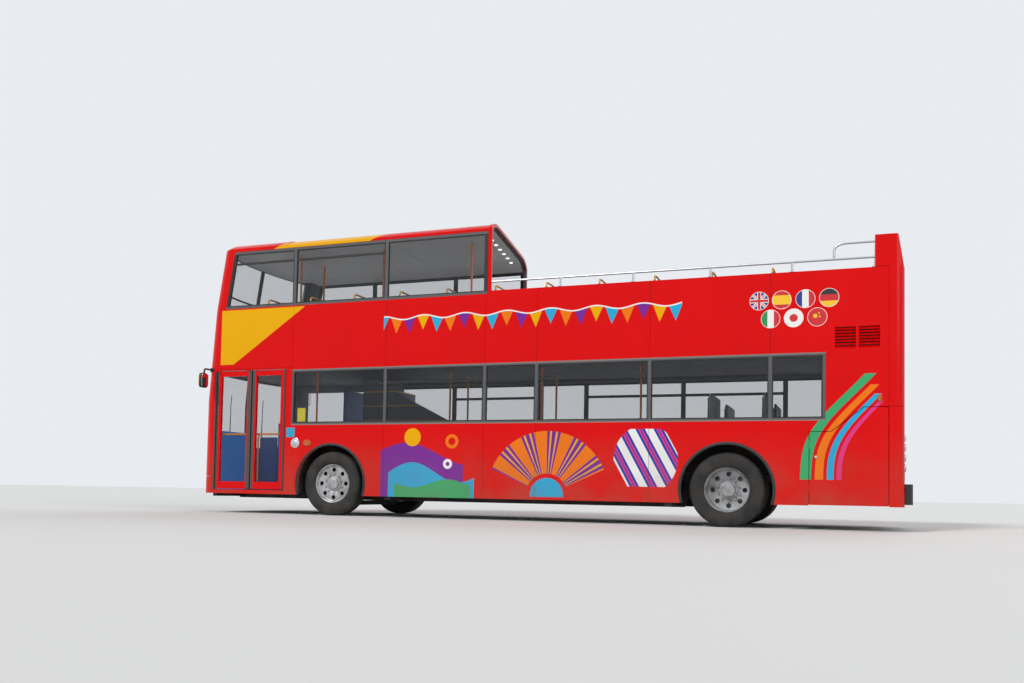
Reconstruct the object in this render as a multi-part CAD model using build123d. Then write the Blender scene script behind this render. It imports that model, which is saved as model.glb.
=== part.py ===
from build123d import *
import math
import os

# Full-size double-decker bus with a part-covered upper deck, in millimetres.
# +Z is up, the front faces -X and the entrance side (nearside) faces -Y.
# The origin is on the ground below the middle of the whole vehicle.

# Driving sizes
WHEELBASE = 5800
FRONT_OVERHANG = 2450
REAR_OVERHANG = 2200
WIDTH = 2520
SKIN = 40
SKIRT_Z = 300
WAIST_Z = 1351
LOWER_WINDOW_H = 848
MID_H = 981
UPPER_WINDOW_H = 896
RIM_H = 43
CANT_H = 49
ROOF_TIERS = ((60, 60), (400, 65))
REAR_ROOF_DROP = 10
BOW_R = 5000
CORNER_R = 200
REAR_CORNER_R = 150
BOW_CHORDS = 8
CORNER_CHORDS = 5
REAR_CHORDS = 4
RAKE_START = 449
RAKE_LOWER = 105
RAKE_SLOPE = 0.159
HOOP_W = 56
SLANT = 370
DOME_L = 1585

# Floors and stairs
FLOOR_Z = 360
FLOOR_T = 30
PLATFORM_RISE = 400
DECK_RISE = 91
UPPER_FLOOR_T = 60
STAIR_STEPS = 8
TREAD = 220
STAIR_WIDTH = 640
PANEL_T = 25

# Windows, glass and trim
TRIM = 50
DIVIDER = 70
TRIM_T = 32
TRIM_SET_IN = 3
GLASS_T = 6
GLASS_SET_IN = 9
HOPPER_DROP = 239
HOPPER_BAR = 40
MULLION = 30

# Doors and flaps
DOOR_W = 1277
DOOR_HEAD = 10
LEAF_T = 40
LEAF_GAP = 14
MEETING_GAP = 12
FLAP_GAP = 8
LEAF_STILE = 80
LEAF_SET_IN = 8
COVER_T = 30
FLAP_T = 30
PIVOT_IN = 25
PIN_R = 10
SEAT_CLEARANCE = 0.3

# Wheels and axles
TYRE_R = 478.5
TYRE_W = 276
RIM_R = 286
RIM_W = 210
RIM_SIDES = 18
TYRE_SIDES = 32
SHOULDER = 30
HUB_SIDES = 10
FRONT_TYRE_INSET = 190
REAR_TYRE_INSET = 170
TWIN_GAP = 40
ARCH_R_FRONT = 570
ARCH_R_REAR = 582
ARCH_CHORDS = 20
WHEEL_BOX_DEPTH = 660
KINGPIN_INSET = 320
KINGPIN_R = 18
SPINDLE_R = 35
RUN_CLEARANCE = 0.05
EYE_R = 48
EYE_H = 120

# Seats, rails and round bars, which have eight flats
SEAT_PITCH = 757
SEAT_W = 870
SEAT_H = 430
CUSHION_T = 70
CUSHION_D = 430
BACK_T = 60
BACK_H = 960
WALL_GAP = 12
RAIL_R = 15
POLE_R = 16
BAR_SIDES = 8

# Rear end
BUMPER_DEPTH = 95
TOWER_H = 398
TOWER_DEPTH = 341

# Places that follow from the driving sizes
NOSE = -(WHEELBASE + FRONT_OVERHANG + REAR_OVERHANG) / 2
TAIL = -NOSE
XF = NOSE + FRONT_OVERHANG
XR = XF + WHEELBASE
BODY_REAR = TAIL - BUMPER_DEPTH
SIDE = WIDTH / 2
INNER = SIDE - SKIN
AXLE_Z = TYRE_R
FRONT_TRACK_Y = SIDE - FRONT_TYRE_INSET
TWIN_OUTER_Y = SIDE - REAR_TYRE_INSET
WHEEL_BOX_Y = SIDE - WHEEL_BOX_DEPTH
KINGPIN_Y = SIDE - KINGPIN_INSET
LOWER_TOP_Z = WAIST_Z + LOWER_WINDOW_H
UPPER_SILL_Z = LOWER_TOP_Z + MID_H
OPEN_RIM_Z = UPPER_SILL_Z + RIM_H
UPPER_TOP_Z = UPPER_SILL_Z + UPPER_WINDOW_H
VERTICAL_TOP_Z = LOWER_TOP_Z - RAKE_START
PLATFORM_Z = FLOOR_Z + PLATFORM_RISE
UPPER_FLOOR_Z = LOWER_TOP_Z + DECK_RISE
CEILING_Z = UPPER_FLOOR_Z - UPPER_FLOOR_T
DOOR_TOP_Z = LOWER_TOP_Z + DOOR_HEAD
SEAM_X = BODY_REAR - 177
SEAM_Z = WAIST_Z + 165
DOOR_REAR = XF - 808
DOOR_FRONT = DOOR_REAR - DOOR_W
FRONT_SPLIT = DOOR_FRONT - 28
OPEN_X = XF + 2529
TOWER_X = BODY_REAR - TOWER_DEPTH
BULKHEAD_X = XR + 1235
STEP_X = XR - 725

os.makedirs("parts", exist_ok=True)


def block(x1, x2, y1, y2, z1, z2):
    """Box between two corners."""
    middle = Pos((x1 + x2) / 2, (y1 + y2) / 2, (z1 + z2) / 2)
    return middle * Box(abs(x2 - x1), abs(y2 - y1), abs(z2 - z1))


def outline(points):
    """Closed outline through the points, always counter-clockwise."""
    area = sum(a[0] * b[1] - b[0] * a[1] for a, b in zip(points, points[1:] + points[:1]))
    ordered = points if area > 0 else points[::-1]
    return Polygon(*ordered, align=None)


def side_plate(face, y1, y2):
    """Extrude an outline drawn in X and Z from Y = y1 to Y = y2."""
    low, high = sorted((y1, y2))
    return extrude(Plane.XZ.offset(-high) * face, high - low)


def section_run(face, x1, x2):
    """Extrude an outline drawn in Y and Z from X = x1 to X = x2."""
    return extrude(Plane.YZ.offset(x1) * face, x2 - x1)


def rod(start, end, radius):
    """Round bar between two points."""
    way = Vector(*end) - Vector(*start)
    return extrude(Plane(origin=start, z_dir=way) * Circle(radius), way.length)


def bar(start, end, radius, sides=BAR_SIDES):
    """Bar with flats between two points, for tubes and lamps."""
    way = Vector(*end) - Vector(*start)
    return extrude(Plane(origin=start, z_dir=way) * RegularPolygon(radius, sides), way.length)


def far(shape):
    """The same piece on the other side of the vehicle."""
    return mirror(shape, about=Plane.XZ)


def save(name, *shapes):
    """Write the solids of one node."""
    solids = [solid for shape in shapes for solid in shape.solids()]
    node = Compound(solids)
    node.label = name
    export_step(node, f"parts/{name}.step")


# Outer form: a plan with a bowed front and rounded corners in short chords, carried up in straight tiers
def arc_points(middle, radius, start, end, chords):
    """Points on an arc in the plan, angles measured from straight ahead toward the offside."""
    chords = round(chords)
    steps = [start + (end - start) * number / chords for number in range(chords + 1)]
    return [(middle[0] - radius * math.cos(a), middle[1] + radius * math.sin(a)) for a in steps]


def plan(shift, inset):
    """Plan of the body, moved back by the shift and in by the inset."""
    half = SIDE - inset
    nose = NOSE + shift + inset
    bow = BOW_R - inset
    corner = max(CORNER_R - inset, 60)
    rear = BODY_REAR - inset
    rear_corner = max(REAR_CORNER_R - inset, 30)
    corner_y = half - corner
    corner_x = nose + bow - math.sqrt((bow - corner) ** 2 - corner_y ** 2)
    meet = math.asin(corner_y / (bow - corner))
    right = arc_points((nose + bow, 0), bow, 0, meet, BOW_CHORDS / 2)
    right += arc_points((corner_x, corner_y), corner, meet, math.pi / 2, CORNER_CHORDS)[1:]
    right += arc_points((rear - rear_corner, half - rear_corner), rear_corner, math.pi / 2, math.pi, REAR_CHORDS)
    return outline(right + [(x, -y) for x, y in right[:0:-1]])


def rake(z):
    """How far the front leans back at a height."""
    if z <= VERTICAL_TOP_Z:
        return 0
    if z <= UPPER_SILL_Z:
        return RAKE_LOWER * (z - VERTICAL_TOP_Z) / (UPPER_SILL_Z - VERTICAL_TOP_Z)
    return RAKE_LOWER + RAKE_SLOPE * (z - UPPER_SILL_Z)


def tier(z1, z2, inset):
    """Solid of the plan between two heights in the same lean."""
    way = Vector(rake(z2) - rake(z1), 0, z2 - z1)
    return extrude(Pos(0, 0, z1) * plan(rake(z1), inset), amount=way.length, dir=way)


def walls(z1, z2, out=0, thick=SKIN):
    """Wall of a given thickness between two heights, split where the lean changes."""
    heights = [z1] + [z for z in (VERTICAL_TOP_Z, UPPER_SILL_Z) if z1 < z < z2] + [z2]
    pieces = [tier(a, b, out) - tier(a, b, out + thick) for a, b in zip(heights, heights[1:])]
    ring = pieces[0]
    for piece in pieces[1:]:
        ring += piece
    return ring


def wide_box(x1, x2, z1=SKIRT_Z, z2=UPPER_TOP_Z + 900):
    """Zone over the full width."""
    return block(x1, x2, -SIDE - 50, SIDE + 50, z1, z2)


def near_box(x1, x2, z1, z2):
    """Zone through the nearside wall."""
    return block(x1, x2, -SIDE - 20, -INNER + 60, z1, z2)


SCREEN_HALF = (SIDE - CORNER_R) * BOW_R / (BOW_R - CORNER_R)
SCREEN_LOW = 1080


# Lower sides: plain walls with arches, entrance and flap openings
def arch(x, radius):
    """Cutter for a wheel arch through one side."""
    over = [(x + radius * math.cos(math.pi * n / ARCH_CHORDS), AXLE_Z + radius * math.sin(math.pi * n / ARCH_CHORDS))
            for n in range(ARCH_CHORDS + 1)]
    return side_plate(outline([(x + radius, 0)] + over + [(x - radius, 0)]), -SIDE - 20, -INNER + 60)


def side_wall(x1, x2, z1, z2):
    """Flat nearside wall between two stations and heights."""
    return block(x1, x2, -SIDE, -INNER, z1, z2)


FLAP_FRONT = XR + 1002
FLAP_LOW_Z = WAIST_Z - 134
FLAP_BEND_A = XR + 1259
FLAP_BEND_B = XR + 1639


def flap_outline(gap):
    """Side engine flap with a raised rear part; the gap is taken off all round."""
    return outline([
        (FLAP_FRONT + gap, SKIRT_Z + gap), (SEAM_X - gap, SKIRT_Z + gap), (SEAM_X - gap, SEAM_Z - gap),
        (FLAP_BEND_B + gap / 2, SEAM_Z - gap), (FLAP_BEND_A + gap / 2, FLAP_LOW_Z - gap),
        (FLAP_FRONT + gap, FLAP_LOW_Z - gap),
    ])


LOW_FRONT = XF - 706
LOW_REAR = XR + 1197
side_skirt = side_wall(FRONT_SPLIT, SEAM_X, SKIRT_Z, WAIST_Z)
side_skirt += side_wall(DOOR_REAR, LOW_FRONT, WAIST_Z, LOWER_TOP_Z)
side_skirt += side_wall(LOW_REAR, SEAM_X, WAIST_Z, LOWER_TOP_Z)
side_skirt -= arch(XF, ARCH_R_FRONT)
side_skirt -= arch(XR, ARCH_R_REAR)
near_skirt = side_skirt + side_wall(FRONT_SPLIT, DOOR_FRONT, WAIST_Z, LOWER_TOP_Z)
near_skirt -= side_plate(flap_outline(0), -SIDE - 20, -INNER + 60)
near_skirt -= near_box(DOOR_FRONT, DOOR_REAR, FLOOR_Z, DOOR_TOP_Z)
save("nearside_skirt", near_skirt)

CAB_SILL_Z = WAIST_Z - 111
CAB_HEAD_Z = LOWER_TOP_Z - 79
cab_window = outline([
    (DOOR_FRONT + 60, CAB_SILL_Z), (DOOR_REAR - 60, CAB_SILL_Z + 110),
    (DOOR_REAR - 60, CAB_HEAD_Z), (DOOR_FRONT + 60, CAB_HEAD_Z),
])
off_skirt = side_skirt + side_wall(FRONT_SPLIT, DOOR_REAR, WAIST_Z, LOWER_TOP_Z)
off_skirt -= side_plate(cab_window, -SIDE - 20, -INNER + 60)
save("offside_skirt", far(off_skirt))

# Panels between the decks, up to the rim of the open part, with two sets of louvres on the nearside
FRONT_CORNER_X = FRONT_SPLIT + 90
LOUVRE_W = 240
LOUVRE_GAP = 37
LOUVRE_LOW_Z = LOWER_TOP_Z + 41
LOUVRE_HIGH_Z = LOWER_TOP_Z + 306
LOUVRE_SLATS = 7
louvre_end = SEAM_X - 105
louvre_x = (louvre_end - 2 * LOUVRE_W - LOUVRE_GAP, louvre_end - LOUVRE_W)
mid = side_wall(FRONT_CORNER_X, SEAM_X, LOWER_TOP_Z, UPPER_SILL_Z)
near_mid = mid + side_wall(OPEN_X, SEAM_X, UPPER_SILL_Z, OPEN_RIM_Z)
near_mid -= near_box(DOOR_FRONT, DOOR_REAR, LOWER_TOP_Z - 5, DOOR_TOP_Z)
for x in louvre_x:
    near_mid -= near_box(x, x + LOUVRE_W, LOUVRE_LOW_Z, LOUVRE_HIGH_Z)
save("nearside_mid_panel", near_mid)
SLANT_IN = SLANT * SKIN / WIDTH
save("offside_mid_panel", far(mid + side_wall(OPEN_X - SLANT + SLANT_IN, SEAM_X, UPPER_SILL_Z, OPEN_RIM_Z)))

slat_pitch = (LOUVRE_HIGH_Z - LOUVRE_LOW_Z) / LOUVRE_SLATS
slats = []
for x in louvre_x:
    for number in range(LOUVRE_SLATS):
        low = LOUVRE_LOW_Z + number * slat_pitch
        blade = outline([(-SIDE + 4, low + 4), (-SIDE + 8, low + 2), (-INNER, low + slat_pitch - 8),
                         (-INNER - 4, low + slat_pitch - 4)])
        slats.append(section_run(blade, x, x + LOUVRE_W))
save("side_louvres", *slats)


# Side windows: trim with panes let into it
def band(points, bars, pane_list):
    """Trim and panes of one window band on the nearside."""
    trim_out = -SIDE + TRIM_SET_IN
    trim_in = trim_out + TRIM_T
    glass_out = -SIDE + GLASS_SET_IN
    trim = side_plate(outline(points), trim_out, trim_in)
    panes = []
    for pane in pane_list:
        trim -= side_plate(outline(pane), trim_out - 1, trim_in + 1)
        panes.append(side_plate(outline(pane), glass_out, glass_out + GLASS_T))
    for x1, x2, z in bars:
        crossbar = block(x1, x2, trim_out, trim_in, z - HOPPER_BAR / 2, z + HOPPER_BAR / 2)
        panes = [pane - crossbar for pane in panes]
        trim += crossbar
    return trim, panes


low_dividers = (XF + 887, XF + 2453, XR - 2576, XR - 1003, XR + 535)
low_edges = (LOW_FRONT,) + low_dividers + (LOW_REAR,)
hopper_bays = (1, 3, 4)
low_points = [(LOW_FRONT, WAIST_Z), (LOW_REAR, WAIST_Z), (LOW_REAR, LOWER_TOP_Z), (LOW_FRONT, LOWER_TOP_Z)]
low_panes = []
low_bars = []
for bay in range(len(low_edges) - 1):
    left = low_edges[bay] + (TRIM if bay == 0 else DIVIDER / 2)
    right = low_edges[bay + 1] - (TRIM if bay == len(low_edges) - 2 else DIVIDER / 2)
    low_panes.append([(left, WAIST_Z + TRIM), (right, WAIST_Z + TRIM), (right, LOWER_TOP_Z - TRIM),
                      (left, LOWER_TOP_Z - TRIM)])
    if bay in hopper_bays:
        low_bars.append((left, right, LOWER_TOP_Z - HOPPER_DROP))
low_trim, low_glass = band(low_points, low_bars, low_panes)

UP_FRONT = NOSE + 494
UP_REAR = OPEN_X - HOOP_W
up_dividers = (XF - 701, XF + 867)


def upper_band(rear):
    """Upper window outline and panes, ending at the given rear edge."""
    edges = (UP_FRONT,) + up_dividers + (rear,)
    lean = RAKE_SLOPE * UPPER_WINDOW_H
    points = [(UP_FRONT, UPPER_SILL_Z), (rear, UPPER_SILL_Z), (rear, UPPER_TOP_Z), (UP_FRONT + lean, UPPER_TOP_Z)]
    low, high = UPPER_SILL_Z + TRIM, UPPER_TOP_Z - TRIM
    panes = []
    for bay in range(3):
        left = edges[bay] + (TRIM if bay == 0 else DIVIDER / 2)
        right = edges[bay + 1] - (TRIM if bay == 2 else DIVIDER / 2)
        lean_low, lean_high = (RAKE_SLOPE * TRIM, lean - RAKE_SLOPE * TRIM) if bay == 0 else (0, 0)
        panes.append([(left + lean_low, low), (right, low), (right, high), (left + lean_high, high)])
    return points, panes


near_points, near_panes = upper_band(UP_REAR - SLANT_IN)
far_points, far_panes = upper_band(UP_REAR - SLANT)
near_trim, near_glass = band(near_points, [], near_panes)
far_trim, far_glass = band(far_points, [], far_panes)
cab_glass = side_plate(cab_window, -SIDE + GLASS_SET_IN, -SIDE + GLASS_SET_IN + GLASS_T)
save("window_trim", low_trim, far(low_trim), near_trim, far(far_trim))
save("side_glass", *low_glass, *[far(pane) for pane in low_glass + far_glass + [cab_glass]], *near_glass)


# Roof over the front part of the upper deck: front moulding, plain rear part and an end hoop, cut at a slant
def slant(y, back):
    """X of the slanted end of the roof at a distance across the bus."""
    return OPEN_X - back - SLANT * (y + SIDE) / WIDTH


def slant_zone(x1, back, z1):
    """Everything between a station and the slanted end, above a height."""
    wide = SIDE + 100
    face = outline([(x1, -wide), (slant(-wide, back), -wide), (slant(wide, back), wide), (x1, wide)])
    return extrude(Plane.XY.offset(z1) * face, 3000)


CANT_TOP_Z = UPPER_TOP_Z + CANT_H
dome = tier(UPPER_TOP_Z, CANT_TOP_Z, 0)
inset_now = 0
z_now = CANT_TOP_Z
for inset, rise in ROOF_TIERS:
    lower_face = Pos(0, 0, z_now) * plan(rake(z_now), inset_now)
    upper_face = Pos(0, 0, z_now + rise) * plan(rake(z_now + rise), inset)
    dome += loft([lower_face, upper_face], ruled=True)
    inset_now = inset
    z_now += rise
ROOF_TOP_Z = z_now


def roof_section(inset, drop):
    """Roof section across the bus: upright cant, steep shoulder, shallow top."""
    half = SIDE - inset
    (in_a, up_a), (in_b, up_b) = ROOF_TIERS
    right = [(half, UPPER_TOP_Z - 1 if inset else UPPER_TOP_Z), (half, CANT_TOP_Z - inset / 2),
             (half - in_a, CANT_TOP_Z + up_a - inset / 2 - drop), (half - in_b, ROOF_TOP_Z - inset - drop)]
    return outline(right + [(-y, z) for y, z in right[::-1]])


void_front = NOSE + rake(UPPER_TOP_Z) + 160
void_plan = outline([(void_front, -SCREEN_HALF + 40), (void_front + 190, -INNER), (OPEN_X + 200, -INNER),
                     (OPEN_X + 200, INNER), (void_front + 190, INNER), (void_front, SCREEN_HALF - 40)])
void = section_run(roof_section(SKIN, REAR_ROOF_DROP), NOSE, OPEN_X + 200)
void = void & extrude(Plane.XY.offset(UPPER_SILL_Z) * void_plan, 2000)
DOME_END = NOSE + DOME_L
dome = (dome & wide_box(NOSE, DOME_END, UPPER_TOP_Z)) - void
save("roof_front", dome)
roof_solid = section_run(roof_section(0, REAR_ROOF_DROP), DOME_END, OPEN_X + 100) - void
save("roof", roof_solid & slant_zone(NOSE, HOOP_W, UPPER_TOP_Z))

posts = walls(UPPER_SILL_Z, UPPER_TOP_Z) & wide_box(NOSE, NOSE + 700, UPPER_SILL_Z)
posts -= side_plate(outline(near_points), -SIDE - 20, SIDE + 20)
posts -= block(NOSE - 50, NOSE + 500, -SCREEN_HALF, SCREEN_HALF, UPPER_SILL_Z - 1, UPPER_TOP_Z + 1)
save("upper_front_posts", posts)
hoop_face = roof_section(0, 0) - roof_section(SKIN, REAR_ROOF_DROP)
hoop_legs = outline([(-SIDE, UPPER_SILL_Z), (-INNER, UPPER_SILL_Z), (-INNER, UPPER_TOP_Z + 5), (-SIDE, UPPER_TOP_Z + 5)])
hoop = section_run(hoop_face, OPEN_X - SLANT - 200, OPEN_X + 100)
leg = section_run(hoop_legs, OPEN_X - SLANT - 200, OPEN_X + 100)
hoop = (hoop + leg + far(leg)) & (slant_zone(NOSE, 0, UPPER_SILL_Z) - slant_zone(NOSE - 10, HOOP_W, UPPER_SILL_Z - 10))
save("roof_end_hoop", hoop)

# Front: bumper, lower panel, band between the decks, screens and lamps
BUMPER_TOP_Z = 560
SEAM = 6
DEST_HALF = 700
DEST_LOW = LOWER_TOP_Z + 231
DEST_HIGH = LOWER_TOP_Z + 701
LAMP_PROUD = 14
front_lamp_table = (  # distance from the middle, height, radius
    (880, 760, 92),
    (660, 760, 56),
)
front_zone = wide_box(NOSE - 50, FRONT_SPLIT)
save("front_bumper", walls(SKIRT_Z, BUMPER_TOP_Z) & front_zone)
face = walls(BUMPER_TOP_Z + SEAM, SCREEN_LOW) & front_zone
cheeks = (walls(SCREEN_LOW, LOWER_TOP_Z) & front_zone) - block(
    NOSE - 50, NOSE + 290, -SCREEN_HALF, SCREEN_HALF, SCREEN_LOW - 1, LOWER_TOP_Z + 1)
save("front_panel", face + cheeks)
band_zone = wide_box(NOSE - 50, FRONT_CORNER_X)
save("front_band", (walls(LOWER_TOP_Z, UPPER_SILL_Z) & band_zone) - near_box(DOOR_FRONT, DOOR_REAR, LOWER_TOP_Z - 5, DOOR_TOP_Z))
body_front = tier(SKIRT_Z, SCREEN_LOW, 0)
lamps = []
for y, z, radius in front_lamp_table:
    for side in (-1, 1):
        lens = bar((NOSE - LAMP_PROUD + (side * y) ** 2 / (2 * BOW_R), side * y, z), (NOSE + 300, side * y, z), radius, 14)
        lamps.append(lens - body_front)
save("front_lamps", *lamps)

screen_table = (  # lowest and highest edge, half width, inner edge, set in
    (SCREEN_LOW, LOWER_TOP_Z, SCREEN_HALF, MULLION, GLASS_SET_IN),
    (UPPER_SILL_Z, UPPER_TOP_Z, SCREEN_HALF, MULLION, GLASS_SET_IN),
)
screens = []
mullions = []
for low, high, wide, middle, set_in in screen_table:
    pane_ring = walls(low, high, set_in, GLASS_T + 2)
    post_ring = walls(low, high, TRIM_SET_IN, TRIM_T)
    for side in (-1, 1):
        screens.append(pane_ring & block(NOSE - 50, NOSE + 480, side * middle, side * wide, low, high))
    mullions.append(post_ring & block(NOSE - 50, NOSE + 480, -middle, middle, low, high))
save("front_glass", *screens)
save("screen_bars", *mullions)
DEST_PROUD = 5
dest = walls(DEST_LOW, DEST_HIGH, -DEST_PROUD, DEST_PROUD) & block(
    NOSE - 50, NOSE + 340, -DEST_HALF, DEST_HALF, DEST_LOW, DEST_HIGH)
save("destination_blind", dest)

# Rear: lower panel with the cover's opening, upper panel, tower, lamps and bumper
COVER_HALF = SIDE - 380
COVER_LOW_Z = BUMPER_TOP_Z + 80
COVER_TOP_Z = WAIST_Z + 69
COVER_GAP = 9


def rear_walls(z1, z2):
    """Upright wall round the tail between two heights."""
    face = plan(0, 0) - plan(0, SKIN)
    return extrude(Pos(0, 0, z1) * face, z2 - z1) & block(SEAM_X, TAIL, -SIDE - 50, SIDE + 50, z1, z2)


rear_low = rear_walls(SKIRT_Z, SEAM_Z)
rear_low -= block(BODY_REAR - SKIN - 20, TAIL, -COVER_HALF, COVER_HALF, COVER_LOW_Z, COVER_TOP_Z)
save("rear_lower_panel", rear_low)
save("rear_upper_panel", rear_walls(SEAM_Z, OPEN_RIM_Z))
TOWER_TOP_Z = OPEN_RIM_Z + TOWER_H
TOWER_LEAN = 67
tower_side = outline([
    (TOWER_X, OPEN_RIM_Z), (TOWER_X, TOWER_TOP_Z), (BODY_REAR - 8 - TOWER_LEAN, TOWER_TOP_Z),
    (BODY_REAR - 8, OPEN_RIM_Z),
])
tower_in = outline([
    (TOWER_X + SKIN, OPEN_RIM_Z - 1), (TOWER_X + SKIN, TOWER_TOP_Z - SKIN),
    (BODY_REAR - 8 - TOWER_LEAN - SKIN, TOWER_TOP_Z - SKIN), (BODY_REAR - 8 - SKIN, OPEN_RIM_Z - 1),
])
tower = side_plate(tower_side, -SIDE, SIDE) & extrude(Pos(0, 0, OPEN_RIM_Z - 5) * plan(0, 0), TOWER_H + 10)
tower -= side_plate(tower_in, -INNER, INNER)
tower_wall = block(TOWER_X, TOWER_X + SKIN, -INNER, INNER, UPPER_FLOOR_Z, OPEN_RIM_Z)
save("rear_tower", tower, tower_wall)
REAR_LAMP_Y = SIDE - 230
REAR_LAMP_R = 52
REAR_LAMP_PITCH = 125
rear_lamps = []
for side in (-1, 1):
    for row in range(4):
        z = COVER_LOW_Z + 140 + row * REAR_LAMP_PITCH
        rear_lamps.append(bar((BODY_REAR, side * REAR_LAMP_Y, z), (BODY_REAR + 22, side * REAR_LAMP_Y, z), REAR_LAMP_R, 8))
save("rear_lamps", *rear_lamps)
bumper_half = SIDE - REAR_CORNER_R
bumper_plan = outline([
    (BODY_REAR, -bumper_half), (TAIL - 20, -bumper_half), (TAIL, 60 - bumper_half),
    (TAIL, bumper_half - 60), (TAIL - 20, bumper_half), (BODY_REAR, bumper_half),
])
save("rear_bumper", extrude(Plane.XY.offset(SKIRT_Z + 30) * bumper_plan, 250))

# Floors, wheel boxes and bulkheads
FRONT_BOX = ARCH_R_FRONT + 30
REAR_BOX = ARCH_R_REAR + 30
BOX_TOP_Z = AXLE_Z + ARCH_R_FRONT + 20
BOX_T = 12
floor_low = block(NOSE + 330, STEP_X, -INNER, INNER, FLOOR_Z - FLOOR_T, FLOOR_Z)
for side in (-1, 1):
    floor_low -= block(XF - FRONT_BOX, XF + FRONT_BOX, side * WHEEL_BOX_Y, side * SIDE, 0, FLOOR_Z + 1)
riser = block(STEP_X - FLOOR_T, STEP_X, -INNER, INNER, FLOOR_Z, PLATFORM_Z - FLOOR_T)
platform = block(STEP_X - FLOOR_T, BULKHEAD_X, -INNER, INNER, PLATFORM_Z - FLOOR_T, PLATFORM_Z)
for side in (-1, 1):
    platform -= block(XR - REAR_BOX, XR + REAR_BOX, side * WHEEL_BOX_Y, side * SIDE, 0, PLATFORM_Z + 1)
bulkhead = block(BULKHEAD_X, BULKHEAD_X + PANEL_T, -INNER, INNER, PLATFORM_Z - FLOOR_T, CEILING_Z)
save("lower_floor", floor_low, riser, platform, bulkhead)


def wheel_box(x, reach, low):
    """Open-bottomed box over a wheel, one side."""
    body = block(x - reach, x + reach, -INNER, -WHEEL_BOX_Y, low, BOX_TOP_Z)
    return body - block(x - reach + BOX_T, x + reach - BOX_T, -INNER - 1, -WHEEL_BOX_Y - BOX_T, low - 1,
                        BOX_TOP_Z - BOX_T)


front_box = wheel_box(XF, FRONT_BOX, FLOOR_Z - FLOOR_T)
rear_box = wheel_box(XR, REAR_BOX, PLATFORM_Z - FLOOR_T)
save("wheel_boxes", front_box, far(front_box), rear_box, far(rear_box))


STAIR_FOOT = XF + 1475
STAIR_HEAD = STAIR_FOOT - STAIR_STEPS * TREAD
STAIR_Y = INNER - 20 - STAIR_WIDTH
WELL_REAR = STAIR_FOOT - 200
deck = extrude(Pos(0, 0, CEILING_Z) * plan(rake(UPPER_FLOOR_Z), SKIN), UPPER_FLOOR_T)
deck -= block(TOWER_X + SKIN, TAIL, -SIDE, SIDE, 0, UPPER_FLOOR_Z + 1)
deck -= block(STAIR_HEAD, WELL_REAR, STAIR_Y, INNER - 20, 0, UPPER_FLOOR_Z + 1)
save("upper_floor", deck)

rise = (UPPER_FLOOR_Z - FLOOR_Z) / STAIR_STEPS
top_line = []
low_line = []
for step in range(STAIR_STEPS - 1):
    x = STAIR_FOOT - step * TREAD
    z = FLOOR_Z + step * rise
    top_line += [(x, z), (x, z + rise)]
    low_line += [(x - PANEL_T, z), (x - PANEL_T, z + rise - PANEL_T)]
last_x = STAIR_FOOT - (STAIR_STEPS - 1) * TREAD
last_z = FLOOR_Z + (STAIR_STEPS - 1) * rise
tail = [(last_x, last_z), (last_x, CEILING_Z), (last_x - PANEL_T, CEILING_Z), (last_x - PANEL_T, last_z - PANEL_T)]
zigzag = outline(top_line + tail + low_line[::-1][:-1] + [(STAIR_FOOT - PANEL_T, FLOOR_Z)])
stairs = side_plate(zigzag, STAIR_Y, INNER)
stair_panel = side_plate(outline([
    (STAIR_FOOT, FLOOR_Z), (STAIR_FOOT, FLOOR_Z + 1000), (STAIR_HEAD, CEILING_Z), (STAIR_HEAD - 200, CEILING_Z),
    (STAIR_HEAD - 200, CEILING_Z - 730), (STAIR_FOOT - 700, FLOOR_Z),
]), STAIR_Y - PANEL_T, STAIR_Y)
WELL_WALL_H = 850
well_wall = block(STAIR_HEAD + 300, WELL_REAR, STAIR_Y - PANEL_T, STAIR_Y, UPPER_FLOOR_Z, UPPER_FLOOR_Z + WELL_WALL_H)
well_end = block(WELL_REAR, WELL_REAR + PANEL_T, STAIR_Y - PANEL_T, INNER, UPPER_FLOOR_Z, UPPER_FLOOR_Z + WELL_WALL_H)
save("staircase", stairs, stair_panel, well_wall, well_end)


# Seats
def seat(x, y1, y2, floor_z, stand_z=None):
    """Double seat: cushion, back and a leg that stands on the floor or on a wheel box."""
    low = floor_z + SEAT_H - CUSHION_T
    middle = (y1 + y2) / 2
    cushion = block(x - CUSHION_D, x, y1, y2, low, floor_z + SEAT_H)
    back = block(x, x + BACK_T, y1, y2, low, floor_z + BACK_H)
    leg = block(x - 330, x - 40, middle - 20, middle + 20, stand_z or floor_z, low)
    return [cushion, back, leg]


near_y = (-INNER + WALL_GAP, -INNER + WALL_GAP + SEAT_W)
far_y = (INNER - WALL_GAP - SEAT_W, INNER - WALL_GAP)
LOWER_PITCH = 740
LAST_ROW = STEP_X - 695
row_x = [LAST_ROW - row * LOWER_PITCH for row in range(1 + int((LAST_ROW - XF - 1300) / LOWER_PITCH))]
lower_seats = []
for x in row_x:
    lower_seats += seat(x, *near_y, FLOOR_Z)
    if x - CUSHION_D > STAIR_FOOT + 50:
        lower_seats += seat(x, *far_y, FLOOR_Z)
raised_rows = ((BULKHEAD_X - 75, PLATFORM_Z), (XR + 420, BOX_TOP_Z), (XR - 265, BOX_TOP_Z))
for x, stand in raised_rows:
    lower_seats += seat(x, *near_y, PLATFORM_Z, stand)
    lower_seats += seat(x, *far_y, PLATFORM_Z, stand)
save("lower_seats", *lower_seats)
upper_seats = []
FIRST_ROW = NOSE + 1185
ROWS = int((TOWER_X - 600 - FIRST_ROW) / SEAT_PITCH)
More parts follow.
